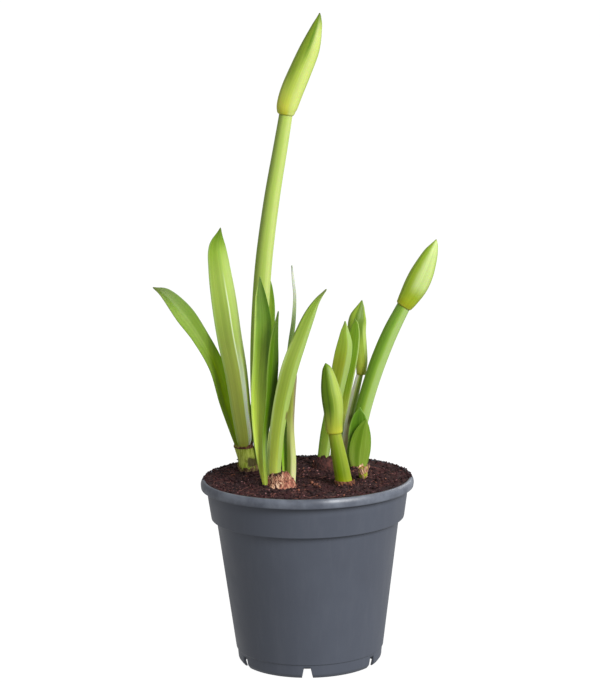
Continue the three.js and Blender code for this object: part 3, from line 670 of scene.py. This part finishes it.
def strap(stations, fold, roll, thick=1.8, ripple=0.35, rings=150, corners=44):
    """A closed blade. Across the blade u is the cosine of the way round its section, both halves bend
    towards the front by fold degrees (half width times u to the power 1.4 times the sine), and half the
    thickness is edge + (middle - edge)(1 - u^2). The margins ripple by a sine of the way along."""
    t = np.linspace(0, 1, rings)
    place, along, size = follow(stations, t)
    closing = np.sqrt(np.clip((1.0015 - t) / 0.012, 0, 1))
    half = np.maximum(size[:, 0], tip_width * mm)[:, None] / 2 * closing[:, None]
    bend = np.radians(fold[0] + (fold[1] - fold[0]) * t)[:, None]
    middle = thick * (1 - 0.35 * t)[:, None]
    _, u, side = section(corners)
    body = np.sign(side) * (leaf_edge * np.abs(side) ** 0.3 + (middle - leaf_edge) * side ** 2) / 2
    body = body * closing[:, None] * mm
    wave = ripple * mm * u ** 2 * np.sign(u) * np.sin(9 * t[:, None] + 2 * u) * np.sin(np.pi * t[:, None])
    behind = body - half * np.abs(u) ** 1.4 * np.sin(bend) + wave
    turned_by = roll[0] + (roll[1] - roll[0]) * t
    return shoot(place, along, half * u * np.cos(bend), behind, t, u, 0.3 * side, turned_by)


left, right, foot, tip = -1.3, 1.3, -0.5, 1.5


def band(colour, share, soft, across, along=(foot, tip), fade=0.1):
    """A stripe that covers a share of the green below it. across runs from -1 at the left edge to 1 at the
    right, along from 0 at the foot to 1 at the tip; left, right, foot and tip lie past the ends. soft and
    fade are how softly it ends across and along."""
    return colour, share, soft, across, along, fade


def between(value, low, high, soft):
    """1 from low to high and 0 outside, with soft ends."""
    return times(ease(value, low - soft, low + soft), ease(value, high + soft, high - soft))


def green(name, stops, bands, roughness=0.4, streaks=0.22, veins=26.0, relief=0.12):
    """Plant green: stops are [way along, red, green, blue], from foot to tip, with bands over them. Fine
    streaks and ribs, the relief in millimetres, run along the shoot."""
    made, place = new_finish(name)
    grain = brew("Attribute", {}, out=1, tree=made.node_tree, attribute_name="grain")
    along = brew("Attribute", {}, out=2, tree=made.node_tree, attribute_name="along")
    across = part_of(grain, 0)
    colour = brew("ValToRGB", {0: along})
    ramp = colour.node.color_ramp.elements
    while len(ramp) < len(stops):
        ramp.new(0.5)
    for element, (at, *shade) in zip(ramp, stops):
        element.position = at
        element.color = paint(*shade)
    drift = brew("Math", {0: speckle(place, 0.02), 1: 0.5}, operation="SUBTRACT")
    for over, share, soft, spread, reach, fade in bands:
        mask = times(between(times(drift, soft * 1.5, across), *spread, soft), between(along, *reach, fade))
        colour = tint(times(mask, share), colour, over)
    streak = speckle(stretched(grain, veins / 4, veins / 4, 0.5), 1.0, detail=5.0, rough=0.65)
    colour = tint(ease(streak, 0.3, 0.75, streaks, 0.0), colour, (64, 88, 8))
    colour = tint(ease(streak, 0.5, 0.85, 0.0, streaks), colour, (218, 230, 130))
    colour = brew("HueSaturation", {"Saturation": 1.04, "Value": 0.94, "Color": colour})
    plug(made.node_tree.nodes["Principled BSDF"], {
        "Subsurface Weight": 0.35, "Subsurface Radius": (0.6, 1.0, 0.2), "Subsurface Scale": 0.002,
    })
    rib = speckle(stretched(grain, veins, veins, 0.4), 1.0, detail=2.0, rough=0.5)
    sheen = ease(streak, 0.3, 0.7, roughness - 0.06, roughness + 0.1)
    return coated(made, colour, sheen, rib, relief * mm, 0.32)


def grow(node, ending, slot, shape, *paints, **finish):
    """A shoot in a green of its own, which stands for its node."""
    bodies, marks = shape
    piece = skin(node + ending, bodies, green(node + "_green", *paints, **finish), slot, **marks)
    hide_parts(node)


def leaf(node, slot, stations, stops, bands, **form):
    """A leaf from its stations, the stops and bands of its green, and the form of its blade."""
    grow(node, "_blade", slot, strap(stations, **form), stops, bands)


leaf("leaf_left_arched", "leaf_mid_green", [
    [-48.6, 34, 142.5, 4.2], [-52, 36, 155, 7.6], [-58.2, 38.5, 178, 12.6], [-64.9, 38, 204, 13.5],
    [-76, 34.5, 226.5, 14.4], [-86.7, 31, 243, 16], [-97.8, 29, 257, 10], [-107, 28, 263, 1]
], [
    [0, 168, 186, 80], [0.25, 156, 186, 66], [0.5, 138, 170, 62], [0.78, 116, 148, 46], [0.92, 94, 118, 30],
    [1, 92, 104, 44]
], [
    band((164, 190, 100), 0.55, 0.3, (-0.65, 0.1), (0.5, 0.76), 0.08),
    # Painted light: the right half low down lies in shade and is painted a brighter yellow-green.
    band((172, 210, 6), 0.92, 0.25, (-0.1, right), (0, 0.47), 0.08),
    band((116, 126, 66), 0.6, 0.05, (left, -0.93), (0.3, 1.2)),
    band((112, 126, 84), 0.6, 0.06, (0.9, right), (0.5, 1.2))
], fold=[30, 16], roll=[25, 35])
leaf("leaf_left_upright", "leaf_light_green", [
    [-44.2, 30.4, 143, 9.6], [-42.1, 27.4, 153, 15.6], [-43.8, 26.8, 172, 18.4], [-46.9, 28.5, 200, 20.9],
    [-51.2, 30.2, 226, 22.5], [-54.7, 31.5, 252, 22.2], [-58.1, 33, 275, 18.9], [-59.9, 34, 291, 14],
    [-58.4, 35, 304, 1]
], [
    [0, 164, 166, 84], [0.2, 166, 180, 86], [0.45, 160, 181, 82], [0.72, 164, 189, 86],
    [0.84, 150, 182, 66], [0.93, 112, 148, 32], [1, 92, 112, 34]
], [
    band((204, 214, 104), 0.8, 0.12, (left, 0), (foot, 0.42), 0.15),
    # Painted light: the right half is painted paler, as it faces the lamps.
    band((190, 212, 120), 0.6, 0.15, (0.12, right), (0.35, 0.82)),
    # Painted highlights: the white strip right of the midrib, its wider foot and the pale midrib line stand
    # for light glancing off the keel.
    band((238, 246, 232), 0.92, 0.08, (0.04, 0.46), (0.14, 0.4)),
    band((255, 255, 250), 1, 0.06, (0.22, 0.6), (foot, 0.2), 0.06),
    band((226, 240, 196), 0.95, 0.03, (-0.03, 0.07), (0.1, 0.68), 0.08),
    band((176, 200, 120), 0.6, 0.05, (left, -0.88), (foot, 0.9))
], fold=[-32, -22], roll=[38, 25], thick=2.2)
leaf("leaf_left_rear", "leaf_mid_green", [
    [-42.2, 35.8, 142.5, 4], [-39.6, 40.8, 155, 6.2], [-35, 44.6, 178, 9.3], [-29.3, 46, 211, 11],
    [-25.6, 46, 240, 9.2], [-25.1, 46, 258, 5.8], [-26, 46, 271, 1]
], [
    [0, 170, 188, 80], [0.4, 150, 178, 66], [0.85, 138, 168, 58], [1, 110, 130, 60]
], [
    band((104, 140, 40), 0.7, 0.2, (0.4, right))
], fold=[15, 12], roll=[0, 0])
leaf("leaf_front_broad", "leaf_mid_green", [
    [-29.4, -25, 127, 1.4], [-31.6, -22.5, 145, 5.2], [-33, -19, 165, 8.2], [-32.8, -17, 190, 10.8],
    [-30.2, -15.5, 218, 12.3], [-28.7, -14.5, 241, 12.6], [-29.7, -13.5, 260, 8], [-30.2, -12.5, 274, 1]
], [
    [0, 232, 238, 98], [0.2, 208, 226, 92], [0.4, 192, 216, 86], [0.52, 180, 212, 82], [0.64, 136, 172, 58],
    [0.75, 112, 148, 52], [1, 96, 124, 48]
], [
    band((178, 202, 104), 0.85, 0.08, (left, -0.78), (foot, 0.95), 0.08),
    # Painted shade: the right side of the upper blade is painted darker where it lies in shade.
    band((72, 112, 14), 0.75, 0.2, (0.5, right), (0.5, tip), 0.12)
], fold=[25, 16], roll=[0, 0])
leaf("leaf_front_dark", "leaf_dark_green", [
    [-28.6, -29, 127, 2.6], [-29.1, -27.2, 145, 4], [-29, -22.3, 165, 5], [-25.2, -21.6, 190, 8.9],
    [-23.2, -22.5, 213, 9.9], [-21.3, -23.5, 234, 6.4], [-17.8, -24, 251.5, 1]
], [
    [0, 170, 184, 78], [0.2, 134, 160, 52], [0.45, 80, 118, 16], [0.8, 86, 124, 22], [1, 84, 108, 50]
], [
    band((122, 148, 62), 0.7, 0.12, (left, -0.7), (0.2, 0.9)),
    # Painted shadow: the right side is painted near-black green where the curved leaf in front shades it.
    band((60, 90, 8), 0.85, 0.3, (0.25, right), (0.1, 0.85), 0.12)
], fold=[25, 22], roll=[30, 35])
leaf("leaf_front_curved", "leaf_light_green", [
    [-22.1, -19.5, 133.5, 10.4], [-21.6, -21.5, 146, 11.4], [-19.4, -25.4, 168, 12],
    [-15.5, -26.5, 190, 13], [-9.9, -28.5, 212, 13.6], [-3.2, -28.5, 230.5, 11.9], [3.4, -27.3, 247, 9.1],
    [8.9, -26, 258, 4.6], [15.3, -25, 266, 1]
], [
    [0, 208, 218, 112], [0.12, 190, 204, 92], [0.24, 160, 178, 72], [0.35, 146, 166, 62],
    [0.6, 150, 172, 74], [0.85, 132, 162, 56], [1, 104, 112, 66]
], [
    # Painted light: the right side is painted paler, as it faces the lamps.
    band((180, 206, 116), 0.75, 0.15, (0.25, right)),
    band((182, 202, 124), 0.8, 0.08, (left, -0.8), (foot, 0.6), 0.08),
    band((82, 100, 34), 0.75, 0.05, (left, -0.88), (0.62, tip), 0.08),
    band((112, 88, 48), 0.75, 0.08, (0.7, right), (0.3, 0.33), 0.008)
], fold=[-28, -14], roll=[18, 24], thick=2.2)
leaf("leaf_front_edgewise", "leaf_light_green", [
    [-15.7, -12, 127, 5.6], [-15.4, -10, 150, 7.8], [-14.3, -9, 180, 8.6], [-12.9, -10, 206, 7.4],
    [-10.6, -10, 226, 6.8], [-7.9, -10, 243, 5.6], [-6.7, -9, 259, 3.8], [-7.7, -8, 271, 3],
    [-8.2, -8, 281, 1]
], [
    [0, 170, 196, 84], [0.12, 140, 188, 54], [0.3, 124, 168, 50], [0.42, 112, 152, 48],
    [0.6, 146, 172, 100], [0.74, 174, 186, 154], [0.92, 212, 216, 204], [1, 170, 176, 160]
], [], fold=[15, 12], roll=[45, 68], thick=1.6)
leaf("leaf_front_sheath", "leaf_pale_sheath", [
    [-10.9, -15.6, 126, 7.2], [-10.3, -15.4, 145, 7.6], [-10.8, -15, 168, 6], [-9.7, -14.5, 188, 6.2],
    [-8.4, -13.5, 203, 6], [-6.6, -13.5, 212, 1]
], [
    [0, 240, 238, 186], [0.2, 214, 220, 150], [0.5, 166, 174, 86], [0.65, 150, 160, 68], [1, 144, 158, 66]
], [
    band((146, 130, 108), 0.8, 0.2, (0.4, right), (0.42, 0.92)),
    band((122, 140, 40), 0.85, 0.14, (left, -0.3), (foot, 0.36))
], fold=[-32, -20], roll=[12, 15], thick=1.7)
leaf("leaf_right_tall", "leaf_mid_green", [
    [12, 34.5, 132, 10], [14.8, 32.5, 152, 10.4], [18.2, 30, 167, 11.8], [22.9, 26, 189, 13.4],
    [26.9, 22.5, 208, 14.6], [28.7, 21, 220, 12.6], [28.6, 20, 230.5, 6.6], [28.6, 19.5, 238, 1]
], [
    [0, 150, 172, 80], [0.2, 132, 160, 56], [0.45, 146, 164, 54], [0.56, 148, 160, 50],
    [0.68, 146, 168, 58], [0.9, 142, 170, 62], [1, 116, 136, 58]
], [
    # Painted light: the right side is painted paler, as it faces the lamps.
    band((176, 202, 118), 0.85, 0.1, (0.2, right)),
    band((116, 150, 56), 0.7, 0.15, (left, -0.7), (foot, 0.5))
], fold=[-28, -16], roll=[18, 22])
leaf("leaf_right_tall_rear", "leaf_mid_green", [
    [20.6, 40, 132, 8.1], [23.4, 38.5, 156, 9.6], [26.8, 36, 175, 11.1], [30.2, 33.5, 194, 12.2],
    [33.6, 32, 211, 12.1], [35.6, 31, 224, 9.8], [36.3, 30.5, 233, 5.6], [35.9, 30, 238, 1]
], [
    [0, 170, 180, 80], [0.3, 152, 162, 58], [0.48, 116, 144, 28], [0.6, 118, 152, 40], [0.9, 112, 146, 36],
    [1, 104, 126, 50]
], [
    # Painted light: the first band paints the right edge paler, as it faces the lamps.
    band((184, 206, 124), 0.85, 0.08, (0.72, right)), band((96, 134, 28), 0.6, 0.2, (-0.3, 0.6), (0.3, tip))
], fold=[-26, -16], roll=[22, 25])
leaf("leaf_right_short", "leaf_dark_green", [
    [35.6, 25, 117, 7.2], [36.9, 23, 130, 10.7], [37.4, 22.5, 138, 14.6], [38.3, 22, 146, 15.9],
    [39.7, 21.5, 155, 13.3], [41.4, 21, 162.5, 7], [42.8, 21, 167, 1]
], [
    [0, 170, 190, 90], [0.35, 148, 176, 76], [0.6, 128, 162, 52], [0.9, 120, 156, 48], [1, 120, 150, 60]
], [
    band((98, 134, 30), 0.7, 0.12, (-0.45, -0.05), (foot, 0.95)),
    band((126, 154, 54), 0.7, 0.2, (0.1, 0.8), (foot, 0.95)), band((104, 136, 44), 0.5, 0.06, (0.86, right))
], fold=[-16, -10], roll=[5, 5], thick=2)
leaf("leaf_right_short_rear", "leaf_dark_green", [
    [34.2, 29.5, 117, 6], [35.3, 28, 130, 9.8], [36.3, 27.5, 140.5, 13.2], [37.2, 27.5, 150, 15],
    [37.6, 27.5, 160, 14], [38.1, 27.5, 168.5, 9], [38.6, 27.5, 174.5, 1]
], [
    [0, 150, 176, 80], [0.4, 106, 148, 40], [0.7, 88, 134, 26], [0.92, 96, 140, 34], [1, 110, 146, 60]
], [
    band((140, 176, 78), 0.7, 0.06, (left, -0.85), (0.3, tip)),
    band((140, 176, 78), 0.7, 0.06, (0.85, right), (0.3, tip)),
    band((66, 108, 16), 0.6, 0.12, (-0.35, 0.1), (foot, 0.9))
], fold=[14, 10], roll=[-5, -5], thick=2)

# Flower stems
# Hollow scapes, a little flattened, with a smooth waxy skin and fine lengthways lines. Each is pushed up
# from beside its bulb's neck and carries one bud on its head.


def stalk(stations, ridge, flat=0.86, sides=56, rings=170):
    """Oval sections: half the width times cosine, flat of that times sine, raised by ridge at the near
    side, where a soft edge runs up the stem as a bell curve of the angle from it."""
    t = np.linspace(0, 1, rings)
    place, along, size = follow(stations, t)
    corner, u, side = section(sides)
    half = size[:, :1] / 2 * (1 + ridge * np.exp(-((corner + 1.75) / 0.42) ** 2))
    return shoot(place, along, half * u, half * flat * side, t, u, side)


def scape(node, stations, stops, bands, ridge):
    grow(node, "_stem", "scape_green", stalk(stations, ridge), stops, bands,
         roughness=0.38, streaks=0.16, veins=16.0, relief=0.06)


scape("scape_tall", [
    [-31.4, 33, 122, 12], [-32.1, 33, 145, 11.9], [-33.4, 32.4, 180, 11.9], [-33.3, 31.2, 212, 11.8],
    [-31.2, 30, 247, 12.2], [-27.8, 29, 283, 11.9], [-21.7, 28, 324, 11.1], [-14.6, 27, 362, 10.1],
    [-10, 26.2, 387, 9.4]
], [
    [0, 170, 178, 72], [0.3, 162, 184, 84], [0.7, 172, 196, 96], [1, 178, 200, 100]
], [
    # Painted shade and highlight: the left side is painted darker and a stripe on the right paler, as the
    # lamps stand on the right.
    band((134, 156, 72), 0.7, 0.22, (left, -0.45)), band((204, 220, 134), 0.8, 0.2, (0.35, 0.95))
], ridge=0.03)
scape("scape_leaning", [
    [32.2, 38.5, 124, 11.2], [35.2, 38, 145, 11.2], [40.1, 37, 168, 11.5], [46.2, 35.5, 189, 11.4],
    [53.1, 34, 209, 11.6], [61.6, 32.5, 229, 11.1], [71.9, 31, 249, 9.8]
], [
    [0, 160, 178, 70], [0.4, 140, 172, 62], [0.8, 138, 176, 70], [1, 150, 184, 84]
], [
    # Painted shade and highlight: the left side is painted darker and the right side paler, as the lamps
    # stand on the right.
    band((110, 152, 48), 0.7, 0.2, (left, -0.15)), band((176, 204, 124), 0.85, 0.18, (0.15, right))
], ridge=0.07)
scape("scape_short", [
    [26.4, -20.5, 124.2, 11.9], [25.2, -20.5, 132.1, 11.6], [22.6, -20.5, 148, 10.5],
    [18.8, -20.5, 168.8, 8.5]
], [
    [0, 206, 200, 60], [0.24, 196, 198, 50], [0.36, 140, 156, 30], [0.48, 118, 140, 30],
    [0.8, 136, 156, 46], [1, 152, 166, 54]
], [
    # Painted shade and highlight: the middle-left is painted darker and the right side paler, as the lamps
    # stand on the right.
    band((116, 146, 22), 0.6, 0.25, (-0.5, 0.05), (0.4, 0.9)), band((160, 176, 62), 0.5, 0.2, (0.4, right))
], ridge=0.02)
scape("scape_rear", [
    [25.5, 48, 124, 7.4], [28.5, 47.5, 145, 6.8], [31.7, 47, 165, 6.2], [35.7, 45.5, 182, 5.8],
    [39.7, 44, 198, 4.8]
], [
    [0, 252, 236, 196], [0.3, 255, 248, 218], [0.6, 206, 218, 140], [1, 196, 210, 110]
], [
    band((250, 250, 232), 0.95, 0.12, (left, -0.3), (0.3, tip), 0.08),
    band((138, 166, 64), 0.8, 0.15, (0.15, right), (0.45, tip)),
    band((104, 102, 40), 0.75, 0.1, (-0.3, right), (0.42, 0.52), 0.03),
    band((176, 118, 84), 0.4, 0.3, (-0.4, 0.5), (0.05, 0.42), 0.06)
], ridge=0.02)

# Buds
# Each scape ends in a closed bud. Two papery green bracts wrap the florets and meet along a seam on
# either side, one lapped over the other, above a yellowish ring that stands out over the stem.


def wrapped_bud(stations, seam, flat=0.88, sides=96, rings=130):
    """Oval sections like the stem's. At each seam the radius steps up by the lap from the lower bract to
    the upper one, and the step dies away as a bell curve; faint ribs show the florets inside."""
    t = np.linspace(0, 1, rings) ** 1.15
    place, along, size = follow(stations, t)
    corner, u, side = section(sides)
    up = t[:, None]
    lap = 0.07 * np.clip((up - 0.04) / 0.2, 0, 1)
    swell = 1 + 0.012 * np.cos(5 * corner + 1) * np.sin(np.pi * up)
    for opposite in (0, np.pi):
        away = (corner + np.pi / 2 - np.radians(seam) - opposite + np.pi) % (2 * np.pi) - np.pi
        swell = swell + lap * (0.5 * np.tanh(away / 0.05)) * np.exp(-(away / 0.5) ** 2)
    rim = 1 - 0.12 * np.clip(1 - up / 0.03, 0, 1) ** 2
    closing = np.sqrt(np.clip((1.002 - up) / 0.03, 0, 1))
    half = np.maximum(size[:, :1], tip_width * mm) / 2 * swell * rim * closing
    return shoot(place, along, half * u, half * flat * side, t, u, side)


def bud(node, stations, stops, bands, seam):
    grow(node, "_bracts", "bud_green", wrapped_bud(stations, seam), stops, bands,
         roughness=0.42, streaks=0.2, veins=14.0, relief=0.1)


bud("bud_tall", [
    [-10.9, 26.3, 382.8, 11.8], [-9.8, 26, 388.7, 14.8], [-6.3, 26, 399, 16], [-0.3, 26, 412.6, 15.6],
    [6.8, 26, 428.6, 13.7], [11.8, 26, 443.1, 7.5], [13.5, 26, 449.6, 3], [13.9, 26, 452.5, 1]
], [
    [0, 196, 196, 60], [0.12, 206, 210, 84], [0.3, 180, 198, 86], [0.5, 170, 192, 82], [0.62, 142, 166, 56],
    [0.8, 116, 140, 36], [0.92, 88, 112, 14], [1, 84, 60, 36]
], [
    # Painted shade and highlight: the first band darkens the left side, the second paints the right side
    # paler, as the lamps stand on the right.
    band((126, 152, 44), 0.8, 0.22, (-0.95, -0.35), (0.34, 0.9)),
    band((208, 221, 130), 0.85, 0.2, (0.2, 0.95), (foot, 0.74)),
    band((96, 134, 24), 0.85, 0.14, (-0.3, 0.05), (0.52, 1))
], seam=25)
bud("bud_leaning", [
    [70.2, 31.2, 246.2, 11.8], [73.4, 31, 251, 14], [79.1, 31, 260.6, 17], [84, 31, 270.5, 16.2],
    [89.5, 31, 282.8, 10.9], [92.6, 31, 289.5, 5.3], [94, 31, 293.6, 1]
], [
    [0, 166, 170, 50], [0.1, 166, 176, 42], [0.25, 160, 182, 54], [0.7, 158, 188, 72], [0.95, 160, 180, 90],
    [1, 110, 84, 50]
], [
    # Painted shade and highlight: the left edge is painted darker and the front and right paler, as the
    # lamps stand on the right.
    band((140, 170, 46), 0.7, 0.16, (-0.98, -0.6), (0.15, 0.95)),
    band((200, 218, 142), 0.9, 0.22, (-0.35, 0.85), (0.3, 0.97), 0.08)
], seam=30)
bud("bud_short", [
    [19.5, -20.5, 165.3, 11.1], [19, -20.5, 171.8, 12.2], [18.8, -20.5, 180.9, 13.5],
    [18.1, -20.5, 188.7, 14.3], [16.8, -20.5, 196.6, 12.9], [15.7, -20.5, 204.8, 9.8],
    [14.7, -20.5, 211, 6], [13.8, -20.5, 214.5, 1]
], [
    [0, 196, 200, 70], [0.14, 170, 182, 66], [0.3, 150, 170, 66], [0.7, 128, 156, 44], [0.95, 104, 138, 32],
    [1, 88, 104, 40]
], [
    # Painted shade and highlight: the left side is painted darker and the right side paler, as the lamps
    # stand on the right.
    band((90, 122, 18), 0.92, 0.12, (left, 0.05), (0.24, tip), 0.15),
    band((172, 190, 90), 0.8, 0.16, (0.4, right), (0.2, 0.85))
], seam=-20)
bud("bud_rear", [
    [40, 44, 195.5, 6.8], [40.4, 44, 204.5, 8.8], [38.7, 44, 215.5, 11.6], [37.3, 44, 226.5, 13.2],
    [38.1, 44, 236.5, 12.3], [40.2, 44, 244.5, 5.8], [41.4, 44, 249.6, 1]
], [
    [0, 172, 172, 62], [0.13, 192, 206, 84], [0.3, 152, 174, 68], [0.45, 146, 170, 60],
    [0.75, 154, 182, 66], [0.95, 140, 168, 60], [1, 112, 120, 60]
], [
    band((84, 116, 24), 0.8, 0.14, (-0.4, 0.75), (0.44, tip)),
    band((182, 206, 110), 0.8, 0.08, (0.6, right), (0.1, 0.6))
], seam=35)

# Stub
# An old shoot of the right bulb, cut back: a short yellow-green tube with a dry, papery, torn mouth and
# shreds of cream skin that still hang on it.
stub_foot = np.array([39, -5.5, 124])
stub_head = np.array([39.3, -5.5, 138])
stub_profile = [[0, 1.8], [0.35, 2.1], [0.6, 2.8], [0.85, 3.1], [1, 3.3], [1.02, 3.1], [1, 2.7], [0.8, 1.9],
                [0.64, 1.3]]
stub_turn = np.arange(48) * 2 * np.pi / 48
stub_way, stub_radius = np.array(stub_profile).T[..., None]
torn = stub_way * 0.9 * np.sin(3 * stub_turn + 1) * np.sin(2 * stub_turn) * (stub_way > 0.7)
wrinkled = stub_radius + 0.12 * np.sin(9 * stub_turn) + 0.2 * np.sin(2 * stub_turn + 3 * stub_way)
stub_rings = np.stack([wrinkled * np.cos(stub_turn), wrinkled * np.sin(stub_turn), torn], -1)
stub_rings = (stub_foot + stub_way[..., None] * (stub_head - stub_foot) + stub_rings) * mm
stub_along = np.linspace(0, 1, len(stub_profile))[None, :, None]
stub_grain = np.stack([np.cos(stub_turn), np.sin(stub_turn), 0 * stub_turn], -1) + 0 * stub_rings[None]
stub_green = green("stub_green", [
    [0, 150, 150, 50], [0.3, 186, 190, 70], [0.45, 196, 194, 92], [0.56, 176, 128, 78], [0.8, 132, 82, 48],
    [1, 92, 60, 36]
], [
    band((120, 128, 36), 0.6, 0.3, (left, -0.2), (foot, 0.5))
], roughness=0.6, streaks=0.3, veins=8.0, relief=0.2)
stub = skin("stub_right_tube", stub_rings[None], stub_green, "dry_stub", grain=stub_grain, along=stub_along)
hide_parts("stub_right")

stub_line = [
    [39, -5.5, 127, 3.8, 3.8], [39.1, -5.5, 131, 4.8, 4.8], [39.2, -5.5, 135, 6, 6],
    [39.3, -5.5, 141, 6.6, 6.6],
]
stub_shreds = tunic_flakes(stub_line, [
    [300, 26, 134, 138.6, 0.9, 51], [250, 22, 133, 137.6, 0.7, 52], [345, 24, 133.5, 139.4, 1.3, 53],
    [200, 30, 134, 138.2, 0.8, 54], [110, 36, 134, 138.8, 0.6, 55], [40, 30, 134, 139, 0.9, 56],
    [275, 16, 129, 132.6, 0.8, 57], [320, 18, 128.6, 131.6, 0.9, 58],
], thick=0.18, ragged=0.3)
skin("stub_right_shreds", stub_shreds, cream_tunic, "dry_stub")

# Light table, lamps and camera
# A white sheet, lit evenly from behind, lies under the pot and sweeps up behind it, so that there is
# neither a shadow nor a horizon. It is seen, but lights nothing. Soft lamps stand on the right.
sweep_near, sweep_bend, sweep_radius, sweep_top = -3.0, 1.6, 1.2, 4.0
bend = np.linspace(0, np.pi / 2, 24)
sweep_y = np.r_[sweep_near, sweep_bend + sweep_radius * np.sin(bend), sweep_bend + sweep_radius]
sweep_z = np.r_[0, sweep_radius * (1 - np.cos(bend)), sweep_top]
sweep_x = np.array([-4.0, 4.0])[:, None]
sweep_points = np.stack([sweep_x + 0 * sweep_y, sweep_y + 0 * sweep_x, sweep_z + 0 * sweep_x], -1)
across_sheet = np.arange(len(sweep_y) - 1)
sheet_faces = np.stack([across_sheet, across_sheet + len(sweep_y), across_sheet + len(sweep_y) + 1,
                        across_sheet + 1], 1)
sheet = bpy.data.meshes.new("light_table")
sheet.from_pydata(sweep_points.reshape(-1, 3).tolist(), [], sheet_faces.tolist())
sheet_finish, _ = new_finish("lit_sheet")
plug(sheet_finish.node_tree.nodes["Principled BSDF"], {
    "Base Color": (0.02, 0.02, 0.02, 1), "Roughness": 0.9,
    "Emission Color": (1, 1, 1, 1), "Emission Strength": 1.0,
})
sheet_finish.cycles.emission_sampling = "NONE"
sheet.materials.append(sheet_finish)
floor = placed("light_table", sheet)
floor.visible_diffuse = False
floor.visible_glossy = False

world = bpy.data.worlds.new("studio")
world.use_nodes = True
plug(world.node_tree.nodes["Background"], {"Color": (1, 1, 1, 1), "Strength": 0.46})
bpy.context.scene.world = world
bpy.context.scene.view_settings.view_transform = "Standard"


def softbox(name, place, size, power):
    """A square soft light, aimed at the middle of the plant."""
    lamp = bpy.data.lights.new(name, "AREA")
    lamp.size = size
    lamp.energy = power
    made = placed(name, lamp)
    made.location = place
    middle = (cad_box[0] + cad_box[1]) / 2
    made.rotation_mode = "QUATERNION"
    made.rotation_quaternion = (middle - made.location).to_track_quat("-Z", "Y")


softbox("key", (1.15, -1.35, 1.2), 0.9, 49)
softbox("rim", (1.0, 0.9, 0.8), 0.8, 6)

lens_data = bpy.data.cameras.new("camera")
lens_data.lens = 101.76
lens_data.sensor_width = 36
camera = placed("camera", lens_data)
pitch, yaw, tilt = 0.144264, -0.002586, -0.016618
stands_at = (0, -1.32878, 0.41973)
aim = Euler((np.pi / 2 - pitch, 0, -yaw)).to_matrix() @ Matrix.Rotation(tilt, 3, "Z")
camera.matrix_world = Matrix.Translation(stands_at) @ aim.to_4x4()
bpy.context.scene.camera = camera
